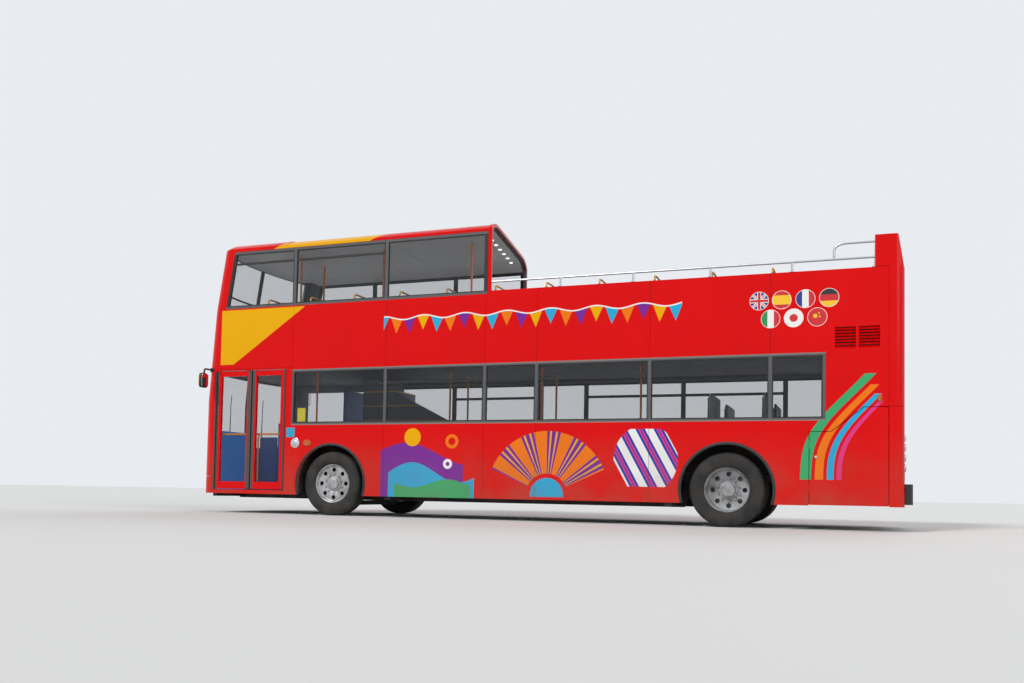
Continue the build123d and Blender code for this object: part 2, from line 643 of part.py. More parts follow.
for row in range(ROWS):
    x = FIRST_ROW + row * SEAT_PITCH
    upper_seats += seat(x, *near_y, UPPER_FLOOR_Z)
    clear_of_well = x + BACK_T < STAIR_HEAD - 100 or x - CUSHION_D > WELL_REAR + 30
    if clear_of_well:
        upper_seats += seat(x, *far_y, UPPER_FLOOR_Z)
bench = seat(TOWER_X - BACK_T, -INNER + WALL_GAP, INNER - WALL_GAP, UPPER_FLOOR_Z)
save("upper_seats", *upper_seats, *bench)

# Cab
CAB_Y = 260
CAB_REAR = XF - 700
PARTITION_TOP_Z = LOWER_TOP_Z - 149
CAB_DOOR_TOP_Z = WAIST_Z + 149
screen_wall = block(CAB_REAR, CAB_REAR + PANEL_T, CAB_Y, INNER, FLOOR_Z, PARTITION_TOP_Z)
cab_door = block(DOOR_FRONT + 120, CAB_REAR, CAB_Y, CAB_Y + PANEL_T, FLOOR_Z, CAB_DOOR_TOP_Z)
save("cab_partition", screen_wall, cab_door)
DRIVER_Y = (CAB_Y + INNER) / 2
DRIVER_SEAT_Z = FLOOR_Z + 400
cushion = block(CAB_REAR - 600, CAB_REAR - 130, DRIVER_Y - 240, DRIVER_Y + 240, DRIVER_SEAT_Z, DRIVER_SEAT_Z + 100)
backrest = block(CAB_REAR - 130, CAB_REAR - 30, DRIVER_Y - 230, DRIVER_Y + 230, DRIVER_SEAT_Z, DRIVER_SEAT_Z + 790)
pedestal = block(CAB_REAR - 500, CAB_REAR - 200, DRIVER_Y - 140, DRIVER_Y + 140, FLOOR_Z, DRIVER_SEAT_Z)
save("driver_seat", cushion, backrest, pedestal)
DASH_X = NOSE + 560
DASH_Z = FLOOR_Z + 600
dash_face = outline([
    (NOSE + 330, FLOOR_Z), (DASH_X - 120, FLOOR_Z), (DASH_X - 40, DASH_Z - 60), (DASH_X, DASH_Z),
    (DASH_X - 130, DASH_Z + 150), (NOSE + 330, DASH_Z + 150),
])
save("dashboard", side_plate(dash_face, CAB_Y + 40, INNER - 60))
COLUMN_L = 150
WHEEL_RING_R = 235
slope = math.atan2(130, 150)
column_foot = (DASH_X - 65, DRIVER_Y, DASH_Z + 75)
column_head = (DASH_X - 65 + COLUMN_L * math.cos(slope), DRIVER_Y, DASH_Z + 75 + COLUMN_L * math.sin(slope))
wheel_plane = Plane(origin=column_head, z_dir=(0.45, 0, 0.89))
hand_ring = extrude(wheel_plane * (RegularPolygon(WHEEL_RING_R, 16) - RegularPolygon(WHEEL_RING_R - 28, 16)), 26)
spokes = extrude(wheel_plane * Rectangle(40, 2 * WHEEL_RING_R - 46), 16)
column = bar(column_foot, column_head, 32) - spokes
save("steering_wheel", hand_ring, spokes - hand_ring, column)

# Guard rails of the open deck and poles in the lower saloon
RAIL_Z = OPEN_RIM_Z + 129
RAIL_Y = SIDE - SKIN / 2
HOOP_X = XR + 1291
HOOP_Z = OPEN_RIM_Z + 321
HOOP_CUT = 110
RAIL_POST_PITCH = 1016
post_x = [OPEN_X + (n + 1) * RAIL_POST_PITCH for n in range(int((HOOP_X - OPEN_X - 300) / RAIL_POST_PITCH))]
rails = []
for side in (-1, 1):
    y = side * RAIL_Y
    rails.append(bar((slant(y, 0) + 2.5, y, RAIL_Z), (TOWER_X, y, RAIL_Z), RAIL_R))
    for x in post_x:
        rails.append(bar((x, y, OPEN_RIM_Z), (x, y, RAIL_Z - RAIL_R), RAIL_R))
    loop = outline([
        (HOOP_X - RAIL_R, RAIL_Z + RAIL_R), (HOOP_X - RAIL_R, HOOP_Z - HOOP_CUT), (HOOP_X + HOOP_CUT, HOOP_Z + RAIL_R),
        (TOWER_X, HOOP_Z + RAIL_R), (TOWER_X, HOOP_Z - RAIL_R), (HOOP_X + HOOP_CUT + 10, HOOP_Z - RAIL_R),
        (HOOP_X + RAIL_R, HOOP_Z - HOOP_CUT - 10), (HOOP_X + RAIL_R, RAIL_Z + RAIL_R),
    ])
    rails.append(side_plate(loop, y - RAIL_R, y + RAIL_R))
save("guard_rails", *rails)
poles = []
POLE_Y = 345
for x in row_x[::2]:
    for side in (-1, 1):
        foot = (x + BACK_T + 40, side * POLE_Y, FLOOR_Z)
        poles.append(bar(foot, (foot[0], foot[1], CEILING_Z), POLE_R))
save("grab_poles", *poles)

# Mirrors
MIRROR_Y = SIDE + 190
MIRROR_TOP_Z = LOWER_TOP_Z - 39
MIRROR_H = 230
mirror_head = block(DOOR_FRONT - 130, DOOR_FRONT - 60, -MIRROR_Y - 105, -MIRROR_Y + 75, MIRROR_TOP_Z - MIRROR_H, MIRROR_TOP_Z)
arm_z = LOWER_TOP_Z + 31
arm_x = DOOR_FRONT - 95
arm = bar((arm_x, -SIDE + 60, arm_z), (arm_x, -MIRROR_Y - 12, arm_z), 14) - tier(LOWER_TOP_Z, UPPER_SILL_Z, 0)
drop = bar((arm_x, -MIRROR_Y, arm_z - 13), (arm_x, -MIRROR_Y, MIRROR_TOP_Z), 14)
save("mirrors", mirror_head, arm, drop, far(mirror_head), far(arm), far(drop))

# Frame, engine and axles
RAIL_HALF = 430
RAIL_W = 70
RAIL_LOW = FLOOR_Z - 125
RAIL_TOP = FLOOR_Z - FLOOR_T
KICK_LOW = PLATFORM_Z - 160
KICK_TOP = PLATFORM_Z - 60
TOW_X = NOSE + 190
TOW_R = 20
TOW_T = 30
TOW_Z = RAIL_LOW + 5
PAD_T = 12
side_rail = side_plate(outline([
    (NOSE + 300, RAIL_LOW), (STEP_X + 60, RAIL_LOW), (STEP_X + 190, KICK_LOW), (BODY_REAR - 60, KICK_LOW),
    (BODY_REAR - 60, KICK_TOP), (STEP_X + 130, KICK_TOP), (STEP_X + 5, RAIL_TOP), (NOSE + 300, RAIL_TOP),
]), -RAIL_HALF - RAIL_W, -RAIL_HALF)
rail_mid = RAIL_HALF + RAIL_W / 2
for x, z in ((XF - 460, RAIL_LOW), (XR + 890, KICK_LOW)):
    side_rail += block(x, x + 120, -rail_mid - 35, -rail_mid + 35, z - PAD_T, z)
save("chassis_frame", side_rail, far(side_rail))
members = []
for x in (NOSE + 420, XF - 640, XF + 700, XF + 2100, XR - 1300):
    members.append(block(x, x + 80, -RAIL_HALF, RAIL_HALF, RAIL_LOW + 10, RAIL_TOP))
members.append(block(XR + 700, XR + 780, -RAIL_HALF, RAIL_HALF, KICK_LOW + 10, KICK_TOP - 10))
for side in (-1, 1):
    y1, y2 = side * (RAIL_HALF + RAIL_W), side * INNER
    members.append(block(NOSE + 330, NOSE + 400, y1, y2, RAIL_LOW + 20, RAIL_TOP))
    for x in (XF + 900, XR - 800):
        members.append(block(x, x + 100, y1, y2, RAIL_LOW + 20, RAIL_TOP))
    members.append(block(XR + 800, XR + 880, y1, y2, KICK_LOW, KICK_TOP))
save("frame_members", *members)
bracket = block(TOW_X - 60, NOSE + 420, -60, 60, TOW_Z, TOW_Z + TOW_T)
save("towing_bracket", bracket - Pos(TOW_X, 0, TOW_Z) * Cylinder(TOW_R, 200))
ENGINE_H = 700
ENGINE_SIDE_GAP = 480
engine_half = INNER - ENGINE_SIDE_GAP
save("engine_block", block(XR + 1330, BODY_REAR - 180, -engine_half, engine_half, KICK_TOP, KICK_TOP + ENGINE_H))

BEAM_Z = AXLE_Z - 288
BEAM_HALF_H = 35
POST_Y = KINGPIN_Y - 130
beam = block(XF - 55, XF + 55, -POST_Y, POST_Y, BEAM_Z - BEAM_HALF_H, BEAM_Z + BEAM_HALF_H)
for side in (-1, 1):
    beam += block(XF - 55, XF + 55, side * (POST_Y - 40), side * (POST_Y + 40), BEAM_Z - BEAM_HALF_H, AXLE_Z + 40)
    beam += block(XF - EYE_R, XF + EYE_R, side * POST_Y, side * (KINGPIN_Y + EYE_R), AXLE_Z - EYE_H / 2, AXLE_Z + EYE_H / 2)
    beam -= Pos(XF, side * KINGPIN_Y, AXLE_Z) * Cylinder(KINGPIN_R + RUN_CLEARANCE, EYE_H + 10)
    beam += block(XF - 60, XF + 60, side * (RAIL_HALF + 10), side * (RAIL_HALF + 60), BEAM_Z + BEAM_HALF_H, RAIL_LOW)
save("front_axle", beam)
FORK_GAP = 5
FORK_T = 32
HUB_IN_Y = FRONT_TRACK_Y + 15


def knuckle(side):
    """Fork round the axle's eye, kingpin and wheel spindle."""
    reach = EYE_H / 2 + FORK_GAP + FORK_T
    turn_r = math.hypot(EYE_R, EYE_R)
    plate_in = side * (KINGPIN_Y + turn_r + 8)
    plate_out = side * (KINGPIN_Y + turn_r + 30)
    piece = Pos(XF, side * KINGPIN_Y, AXLE_Z) * Cylinder(KINGPIN_R, 2 * reach - 2)
    for z in (AXLE_Z + reach - FORK_T, AXLE_Z - reach):
        piece += block(XF - EYE_R, XF + EYE_R, side * (KINGPIN_Y - EYE_R), plate_in, z, z + FORK_T)
    piece += block(XF - EYE_R, XF + EYE_R, plate_in, plate_out, AXLE_Z - reach, AXLE_Z + reach)
    piece += rod((XF, plate_out, AXLE_Z), (XF, side * (HUB_IN_Y + 60), AXLE_Z), SPINDLE_R)
    return piece


save("knuckle_left", knuckle(-1))
save("knuckle_right", knuckle(1))
rear_beam = rod((XR, -TWIN_OUTER_Y + 100, AXLE_Z), (XR, TWIN_OUTER_Y - 100, AXLE_Z), SPINDLE_R)
rear_tube = bar((XR, -WHEEL_BOX_Y + 20, AXLE_Z), (XR, WHEEL_BOX_Y - 20, AXLE_Z), 70, 12)
rear_tube += bar((XR, -60, AXLE_Z), (XR, 180, AXLE_Z), 150, 14) + rear_beam
for side in (-1, 1):
    rear_tube += block(XR - 60, XR + 60, side * (RAIL_HALF + 10), side * (RAIL_HALF + 60), AXLE_Z, KICK_LOW)
save("rear_axle", rear_tube)


# Wheels
def ring_face(radius, sides):
    """Many-sided face about the axle line, with one side facing the ground."""
    return RegularPolygon(radius, sides, major_radius=False)


def disc(x, y1, y2, radius, sides):
    """Many-sided disc between two stations along the axle line."""
    low, high = sorted((y1, y2))
    return extrude(Plane(origin=(x, low, AXLE_Z), z_dir=(0, 1, 0)) * ring_face(radius, sides), high - low)


def bore(x, y1, y2):
    """Round bore for the spindle."""
    return rod((x, y1, AXLE_Z), (x, y2, AXLE_Z), SPINDLE_R + RUN_CLEARANCE)




def tyre(x, y):
    """Tyre with a flat tread and cut shoulders round a many-sided bore."""
    tread = disc(x, y - TYRE_W / 2 + SHOULDER, y + TYRE_W / 2 - SHOULDER, TYRE_R, TYRE_SIDES)
    for way in (-1, 1):
        start = Plane(origin=(x, y + way * (TYRE_W / 2 - SHOULDER), AXLE_Z), z_dir=(0, way, 0))
        tread += extrude(start * ring_face(TYRE_R, TYRE_SIDES), SHOULDER, taper=45)
    return tread - disc(x, y - TYRE_W / 2 - 5, y + TYRE_W / 2 + 5, RIM_R, RIM_SIDES)


HAND_HOLES = 8
HAND_R = 30
HAND_RING_R = 205
DISC_T = 14
BARREL_T = 14
HUB_R = 110


def rim(x, y, disc_y, holed):
    """Rim barrel with a plain or holed disc whose nearer face stands at a station."""
    piece = disc(x, y - RIM_W / 2, y + RIM_W / 2, RIM_R, RIM_SIDES)
    for end in (-1, 1):
        stop = disc_y if end < 0 else disc_y + DISC_T
        piece -= disc(x, y + end * (RIM_W / 2 + 5), stop, RIM_R - BARREL_T, RIM_SIDES)
    for number in range(HAND_HOLES if holed else 0):
        angle = 2 * math.pi * number / HAND_HOLES
        hole_x = x + HAND_RING_R * math.cos(angle)
        hole_z = AXLE_Z + HAND_RING_R * math.sin(angle)
        piece -= bar((hole_x, disc_y - 5, hole_z), (hole_x, disc_y + DISC_T + 5, hole_z), HAND_R, 5)
    return piece


front_out = 50
rear_out = -TYRE_W / 2 + 43
for side, name in ((-1, "left"), (1, "right")):
    y = side * FRONT_TRACK_Y
    disc_y = y + (front_out if side > 0 else -front_out - DISC_T)
    hub_in = side * (HUB_IN_Y + 5)
    hub_out = side * (FRONT_TRACK_Y + 82)
    front_rim = rim(XF, y, disc_y, True) + disc(XF, hub_in, hub_out, HUB_R, HUB_SIDES)
    front_rim -= bore(XF, hub_in - side * 5, hub_out)
    save(f"front_rim_{name}", front_rim + disc(XF, hub_out, hub_out + side * 22, HUB_R - 15, HUB_SIDES))
    save(f"front_tyre_{name}", tyre(XF, y))
    twin_y = side * TWIN_OUTER_Y
    inner_y = side * (TWIN_OUTER_Y - TYRE_W - TWIN_GAP)
    disc_y = twin_y + (rear_out if side > 0 else -rear_out - DISC_T)
    inner_disc_y = inner_y - (-RIM_W / 2 + 4 if side < 0 else RIM_W / 2 - 4 - DISC_T) * -1
    hub_in = side * (TWIN_OUTER_Y - TYRE_W - TWIN_GAP + 20)
    hub_out = side * (TWIN_OUTER_Y - 82)
    rims = rim(XR, twin_y, disc_y, True) + rim(XR, inner_y, inner_disc_y, False)
    rims += disc(XR, hub_in, hub_out, HUB_R, HUB_SIDES)
    rims -= bore(XR, hub_in - side * 60, hub_out)
    save(f"rear_rims_{name}", rims + disc(XR, hub_out, hub_out + side * 22, HUB_R - 15, HUB_SIDES))
    save(f"rear_tyres_{name}", tyre(XR, twin_y), tyre(XR, inner_y))


# Doors, engine cover and engine flap
leaf_out = -SIDE + LEAF_SET_IN
leaf_in = leaf_out + LEAF_T
leaf_mid = leaf_out + LEAF_T / 2
leaf_low = FLOOR_Z + 14
leaf_high = DOOR_TOP_Z - 12
leaf_split = DOOR_FRONT + LEAF_GAP + (DOOR_W - 2 * LEAF_GAP) * 0.515
GLASS_LOW = leaf_low + 110
GLASS_HIGH = leaf_high - 75
GRAB_Z = FLOOR_Z + 862
GRAB_OUT = 45
leaf_spans = (
    ("front", DOOR_FRONT + LEAF_GAP, leaf_split - MEETING_GAP / 2, 1),
    ("rear", leaf_split + MEETING_GAP / 2, DOOR_REAR - LEAF_GAP, -1),
)
for name, x1, x2, hand in leaf_spans:
    pane = block(x1 + LEAF_STILE, x2 - LEAF_STILE, leaf_out + 12, leaf_out + 12 + GLASS_T, GLASS_LOW, GLASS_HIGH)
    leaf = block(x1, x2, leaf_out, leaf_in, leaf_low, leaf_high)
    leaf -= block(x1 + LEAF_STILE, x2 - LEAF_STILE, leaf_out - 1, leaf_in + 1, GLASS_LOW, GLASS_HIGH)
    grab = (x1 + (65 if hand > 0 else 30), x2 - (30 if hand > 0 else 65))
    leaf += bar((grab[0] - 8, leaf_in + GRAB_OUT, GRAB_Z), (grab[1] + 8, leaf_in + GRAB_OUT, GRAB_Z), 14)
    for x in grab:
        leaf += block(x - 8, x + 8, leaf_in, leaf_in + GRAB_OUT, GRAB_Z - 8, GRAB_Z + 8)
    pivot_x = x1 + PIVOT_IN if hand > 0 else x2 - PIVOT_IN
    leaf += bar((pivot_x, leaf_mid, FLOOR_Z + SEAT_CLEARANCE), (pivot_x, leaf_mid, leaf_low), PIN_R)
    leaf += bar((pivot_x, leaf_mid, leaf_high), (pivot_x, leaf_mid, DOOR_TOP_Z - SEAT_CLEARANCE), PIN_R)
    save(f"door_leaf_{name}", leaf)
    save(f"door_glass_{name}", pane)

cover = block(BODY_REAR - COVER_T, BODY_REAR, -COVER_HALF + COVER_GAP, COVER_HALF - COVER_GAP,
              COVER_LOW_Z + COVER_GAP, COVER_TOP_Z - COVER_GAP)
barrel_z = COVER_TOP_Z - COVER_GAP
for side in (-1, 1):
    cover += bar((BODY_REAR, side * 520, barrel_z), (BODY_REAR, side * 640, barrel_z), COVER_GAP - SEAT_CLEARANCE)
save("engine_cover", cover)
flap = side_plate(flap_outline(FLAP_GAP), -SIDE, -SIDE + FLAP_T)
for z in (SKIRT_Z + 150, SKIRT_Z + 700):
    flap += bar((FLAP_FRONT + FLAP_GAP, -SIDE, z), (FLAP_FRONT + FLAP_GAP, -SIDE, z + 110), FLAP_GAP - SEAT_CLEARANCE)
save("engine_flap", flap)
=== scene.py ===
import math
import bmesh
import bpy
import numpy as np
from mathutils import Euler, Matrix, Vector


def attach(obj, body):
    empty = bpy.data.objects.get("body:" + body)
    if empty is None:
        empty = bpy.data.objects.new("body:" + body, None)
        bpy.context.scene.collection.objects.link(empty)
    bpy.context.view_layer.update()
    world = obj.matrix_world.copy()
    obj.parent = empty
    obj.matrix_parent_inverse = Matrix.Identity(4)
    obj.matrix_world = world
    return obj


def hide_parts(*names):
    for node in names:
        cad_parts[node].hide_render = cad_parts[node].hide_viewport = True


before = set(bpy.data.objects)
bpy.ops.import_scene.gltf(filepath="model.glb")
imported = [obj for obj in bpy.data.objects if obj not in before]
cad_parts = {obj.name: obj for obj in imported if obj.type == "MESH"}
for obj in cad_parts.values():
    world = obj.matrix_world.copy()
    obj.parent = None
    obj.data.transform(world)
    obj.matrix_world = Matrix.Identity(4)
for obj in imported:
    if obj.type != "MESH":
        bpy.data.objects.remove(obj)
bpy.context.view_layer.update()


class Wire:
    """One output of a finish's nodes. Sums written on it become Math nodes."""

    def __init__(self, finish, link):
        self.finish, self.link = finish, link

    def maths(self, operation, *values):
        return self.finish.node("ShaderNodeMath", {"operation": operation}, dict(enumerate(values)))

    def __add__(self, other): return self.maths("ADD", self, other)
    def __sub__(self, other): return self.maths("SUBTRACT", self, other)
    def __rsub__(self, other): return self.maths("SUBTRACT", other, self)
    def __mul__(self, other): return self.maths("MULTIPLY", self, other)
    def __truediv__(self, other): return self.maths("DIVIDE", self, other)
    def __mod__(self, other): return self.maths("FLOORED_MODULO", self, other)
    def __pow__(self, other): return self.maths("POWER", self, other)
    def __or__(self, other): return self.maths("MAXIMUM", self, other)
    def __abs__(self): return self.maths("ABSOLUTE", self)
    def sine(self): return self.maths("SINE", self)

    def over(self, edge, soft=0.003):
        """Mask that is 1 above the edge and 0 below it, over a soft width."""
        return self.finish.node("ShaderNodeMapRange", {"clamp": True},
                                {0: self, 1: edge - soft / 2, 2: edge + soft / 2, 3: 0.0, 4: 1.0})

    def under(self, edge, soft=0.003):
        return 1 - self.over(edge, soft)

    def between(self, low, high, soft=0.003):
        return self.over(low, soft) * self.under(high, soft)

    def near(self, value, width, soft=0.003):
        return abs(self - value).under(width / 2, soft)


class Finish:
    """A material with its shader. Plain values go straight to the shader's sockets."""

    def __init__(self, name, **fixed):
        self.material = bpy.data.materials.new(name)
        self.material.use_nodes = True
        self.tree = self.material.node_tree
        self.shader = self.tree.nodes["Principled BSDF"]
        for socket, value in fixed.items():
            self.shader.inputs[socket.replace("_", " ")].default_value = value
        self.place = self.node("ShaderNodeTexCoord", {}, {}, 3)
        split = self.node("ShaderNodeSeparateXYZ", {}, {0: self.place}).link.node
        self.x, self.y, self.z = (Wire(self, split.outputs[n]) for n in range(3))

    def node(self, kind, settings, sockets, out=0):
        """Any node: its settings first, then the values or links of its sockets."""
        made = self.tree.nodes.new(kind)
        for key, value in settings.items():
            setattr(made, key, value)
        for key, value in sockets.items():
            if isinstance(value, Wire):
                self.tree.links.new(value.link, made.inputs[key])
            else:
                made.inputs[key].default_value = value
        return Wire(self, made.outputs[out])

    def mix(self, mask, under, over):
        """The over colour where the mask is 1, the under colour elsewhere."""
        return self.node("ShaderNodeMix", {"data_type": "RGBA"}, {0: mask, 6: under, 7: over}, 2)

    def paint(self, mask, over):
        """Lay a colour over the finish's present one where the mask is 1."""
        self.colour = self.mix(mask, self.colour, over)

    def grain(self, scale, detail=2.0, stretch=None):
        """Noise of about 0 to 1, so many waves to the metre, stretched along an axis if asked."""
        place = self.place
        if stretch:
            place = self.node("ShaderNodeMapping", {}, {0: place, 3: stretch})
        return self.node("ShaderNodeTexNoise", {}, {"Vector": place, "Scale": scale, "Detail": detail})

    def feed(self, **wires):
        for socket, wire in wires.items():
            self.tree.links.new(wire.link, self.shader.inputs[socket.replace("_", " ")])
        return self

    def relief(self, height, depth):
        """Bump of a depth in metres under the shader's normal."""
        sockets = {"Height": height, "Distance": depth, "Strength": 1.0}
        return self.feed(Normal=self.node("ShaderNodeBump", {}, sockets))

    def on(self, *names):
        """Put this finish on CAD nodes."""
        for name in names:
            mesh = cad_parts[name].data
            mesh.materials.clear()
            mesh.materials.append(self.material)
        return self


def joined(*shapes):
    """Several shapes of points and faces as one."""
    points, faces, start = [], [], 0
    for verts, quads in shapes:
        verts = np.asarray(verts, float).reshape(-1, 3)
        points.append(verts)
        faces += [[int(i) + start for i in face] for face in quads]
        start += len(verts)
    return np.concatenate(points), faces


def lay(name, shape, finish, node=None, body="bus", crease=35):
    """Mesh object from a shape, points and faces, or a list of shapes. It is smooth but for edges sharper than
    the crease angle, rides on a body, and stands for a node, which it hides, where they are given. Points on one
    place are merged, which closes poles and seams, and the faces are turned outward."""
    verts, faces = joined(*shape) if isinstance(shape, list) else shape
    mesh = bpy.data.meshes.new(name)
    mesh.from_pydata(np.asarray(verts, float).reshape(-1, 3).tolist(), [], [list(map(int, f)) for f in faces])
    if len(mesh.polygons) > 1:
        work = bmesh.new()
        work.from_mesh(mesh)
        bmesh.ops.remove_doubles(work, verts=work.verts, dist=2e-6)
        bmesh.ops.dissolve_degenerate(work, edges=work.edges, dist=1e-7)
        bmesh.ops.recalc_face_normals(work, faces=work.faces)
        work.to_mesh(mesh)
        work.free()
    mesh.validate()
    mesh.shade_smooth()
    mesh.set_sharp_from_angle(angle=math.radians(crease))
    mesh.materials.append(finish.material)
    made = bpy.data.objects.new(name, mesh)
    bpy.context.scene.collection.objects.link(made)
    if body:
        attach(made, body)
    if node:
        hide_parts(node)
    return made


floor_finish = Finish("studio_floor", Base_Color=(0.74, 0.74, 0.73, 1), Roughness=0.9)
reach = 160.0
corners = [(-reach, -reach, 0), (reach, -reach, 0), (reach, reach, 0), (-reach, reach, 0)]
lay("studio_floor", (corners, [(0, 1, 2, 3)]), floor_finish, body=None)
world = bpy.data.worlds.new("studio_world")
world.use_nodes = True
tree = world.node_tree
sky, ray = tree.nodes["Background"], tree.nodes.new("ShaderNodeLightPath")
sky.inputs["Color"].default_value = (0.90, 0.93, 0.97, 1)
level = tree.nodes.new("ShaderNodeMapRange")
level.inputs["To Min"].default_value, level.inputs["To Max"].default_value = 0.36, 0.9
seen = ray.outputs["Is Camera Ray"]
for kind in ("Is Glossy Ray", "Is Transmission Ray"):
    either = tree.nodes.new("ShaderNodeMath")
    either.operation = "MAXIMUM"
    tree.links.new(seen, either.inputs[0])
    tree.links.new(ray.outputs[kind], either.inputs[1])
    seen = either.outputs[0]
tree.links.new(seen, level.inputs["Value"])
tree.links.new(level.outputs["Result"], sky.inputs["Strength"])
bpy.context.scene.world = world
for name, tilt, turn, power, soft in (  # turns about X and Z, strength, softness in degrees
        ("key", 50, -24, 1.65, 14), ("fill", 62, 60, 0.80, 40), ("back", 50, 165, 0.7, 40)):
    lamp = bpy.data.lights.new(name, "SUN")
    lamp.energy, lamp.angle = power, math.radians(soft)
    holder = bpy.data.objects.new(name, lamp)
    holder.rotation_euler = Euler((math.radians(tilt), 0, math.radians(turn)))
    bpy.context.scene.collection.objects.link(holder)
camera = bpy.data.objects.new("camera", bpy.data.cameras.new("camera"))
camera.data.sensor_width = 36
camera.data.lens = 33.13
camera.data.shift_y = 0.1064
camera.data.clip_end = 500
yaw, pitch, roll = math.radians(20.49), math.radians(2.53), math.radians(1.06)
look = Vector((-math.sin(yaw) * math.cos(pitch), math.cos(yaw) * math.cos(pitch), math.sin(pitch)))
right = look.cross(Vector((0, 0, 1))).normalized()
up = right.cross(look)
right, up = right * math.cos(roll) + up * math.sin(roll), up * math.cos(roll) - right * math.sin(roll)
turned_view = Matrix((right, up, -look)).transposed().to_4x4()
turned_view.translation = Vector((4.665, -13.446, 0.398))
camera.matrix_world = turned_view
bpy.context.scene.collection.objects.link(camera)
bpy.context.scene.camera = camera
bpy.context.scene.view_settings.view_transform = "Standard"

# Frame, axles and engine: a welded steel ladder frame in worn black paint with road dust, a dropped front beam,
# a rear axle in the same paint and one plain block of cast iron for the engine, bolted under the floor.
def shade(red, green, blue):
    """Linear colour from the three screen values of 0 to 255."""
    parts = [v / 255 for v in (red, green, blue)]
    return tuple(p / 12.92 if p <= 0.04045 else ((p + 0.055) / 1.055) ** 2.4 for p in parts) + (1.0,)


def worn(name, noise, under, over, rough=None, edge=None, bump=None, second=None, **fixed):
    """Finish whose colour goes from one screen shade to the other with a noise (scale, detail), or where that
    noise is over an edge (place, softness, strength). Roughness = rough[0] noise + rough[1], of a second noise
    where one is given. The bump is scale, detail and depth."""
    finish = Finish(name, **fixed)
    noise = finish.grain(*noise)
    mask = noise.over(*edge[:2]) * edge[2] if edge else noise
    finish.feed(Base_Color=finish.mix(mask, shade(*under), shade(*over)))
    if rough:
        wear = finish.grain(*second) if second else noise
        finish.feed(Roughness=wear * rough[0] + rough[1])
    return finish.relief(finish.grain(*bump[:2]), bump[2]) if bump else finish


worn("frame_paint", (3.0, 4.0), (34, 34, 36), (92, 84, 74), (0.4, 0.45), (0.52, 0.3, 0.6), (60.0, 4.0, 0.0008),
     Specular_IOR_Level=0.4).on("chassis_frame", "frame_members", "towing_bracket", "front_axle", "rear_axle",
                                "knuckle_left", "knuckle_right", "wheel_boxes")
worn("engine_iron", (9.0, 6.0), (70, 72, 74), (96, 74, 56), (0.3, 0.5), (0.55, 0.2, 1.0), (120.0, 3.0, 0.0015),
     Metallic=0.6).on("engine_block")

# Wheels: six tyres of 275 width with ribbed tread on silver-grey steel discs, eight hand holes in the outer
# discs, ten nuts and a hub cap. The discs and tyres are turned shapes, pressed and moulded in the real ones.
AXLE_Z, FRONT_X, REAR_X = 0.4785, -2.775, 3.025
FRONT_Y, OUTER_Y, INNER_Y, PLATE = 1.070, 1.090, 0.774, 0.012  # wheels' middles, thickness of a disc
FRONT_FACE, REAR_FACE = 0.052, 0.085  # disc faces out from a front wheel's middle, in from a rear one's


def grid_faces(rows, columns, wrap_rows=False, wrap_columns=False):
    """Quads of a grid of points, joined round at either end if asked."""
    r = np.arange(rows if wrap_rows else rows - 1)[:, None]
    c = np.arange(columns if wrap_columns else columns - 1)[None, :]
    r2, c2 = (r + 1) % rows, (c + 1) % columns
    return np.stack([r * columns + c, r * columns + c2, r2 * columns + c2, r2 * columns + c], -1).reshape(-1, 4)


def on_axle(rows, x, y, way, steps=96):
    """Rows (radius, w) carried round an axle: point = (x + r sin a, y + way w, axle height + r cos a)."""
    r, w = np.asarray(rows, float).T
    a = np.linspace(0, 2 * np.pi, steps, endpoint=False)[:, None]
    across = np.broadcast_to(y + way * w, (steps, len(w)))
    verts = np.stack([x + r * np.sin(a), across, AXLE_Z + r * np.cos(a)], -1)
    return verts, grid_faces(steps, len(w), wrap_rows=True)


def holed_disc(x, y, out, bulge=0.018, count=8, middle=0.205, hole=0.032, inner=0.110, outer=0.250):
    """Disc face with round holes: in each sector a point goes from the hole's circle to the sector's border,
    (1 - t) circle + t border, then out of the plane by bulge (1 - ((r - middle) / 0.1)^2)."""
    turn = np.linspace(0, 2 * np.pi, 48, endpoint=False)
    t = np.linspace(0, 1, 6)[:, None]
    reach = 1 / np.maximum(np.abs(np.cos(turn)), np.abs(np.sin(turn)))
    sector = np.pi / count
    a = np.cos(turn) * hole / middle * (1 - t) + np.cos(turn) * reach * sector * t
    border = (inner + outer) / 2 + np.sin(turn) * reach * (outer - inner) / 2
    r = (middle + np.sin(turn) * hole) * (1 - t) + border * t
    front = y + out * bulge * (1 - ((r - middle) / 0.1) ** 2)
    shapes = []
    for b in a + np.arange(count)[:, None, None] * 2 * sector:
        px, pz = x + r * np.sin(b), AXLE_Z + r * np.cos(b)
        faces = [np.stack([px, front - out * depth, pz], -1) for depth in (0, PLATE)]
        shapes += [(face, grid_faces(len(t), len(turn), wrap_columns=True)) for face in faces]
        shapes.append((np.stack([face[0] for face in faces]), grid_faces(2, len(turn), wrap_columns=True)))
    return shapes


def nut_ring(x, y, out, count=10, ring=0.1425, size=0.016, length=0.022):
    """Six-sided nuts round a hub: each is a ring of six points carried out from the disc and closed."""
    shapes = []
    six = np.linspace(0, 2 * np.pi, 6, endpoint=False)
    rows = [(size, 0), (size, length * 0.8), (size * 0.75, length), (0.0, length)]
    for angle in np.arange(count) * 2 * np.pi / count:
        cx, cz = x + ring * np.sin(angle), AXLE_Z + ring * np.cos(angle)
        rings = [np.stack([cx + r * np.cos(six), np.full(6, y + out * d), cz + r * np.sin(six)], -1)
                 for r, d in rows]
        shapes.append((np.stack(rings), grid_faces(len(rows), 6, wrap_columns=True)))
    return shapes


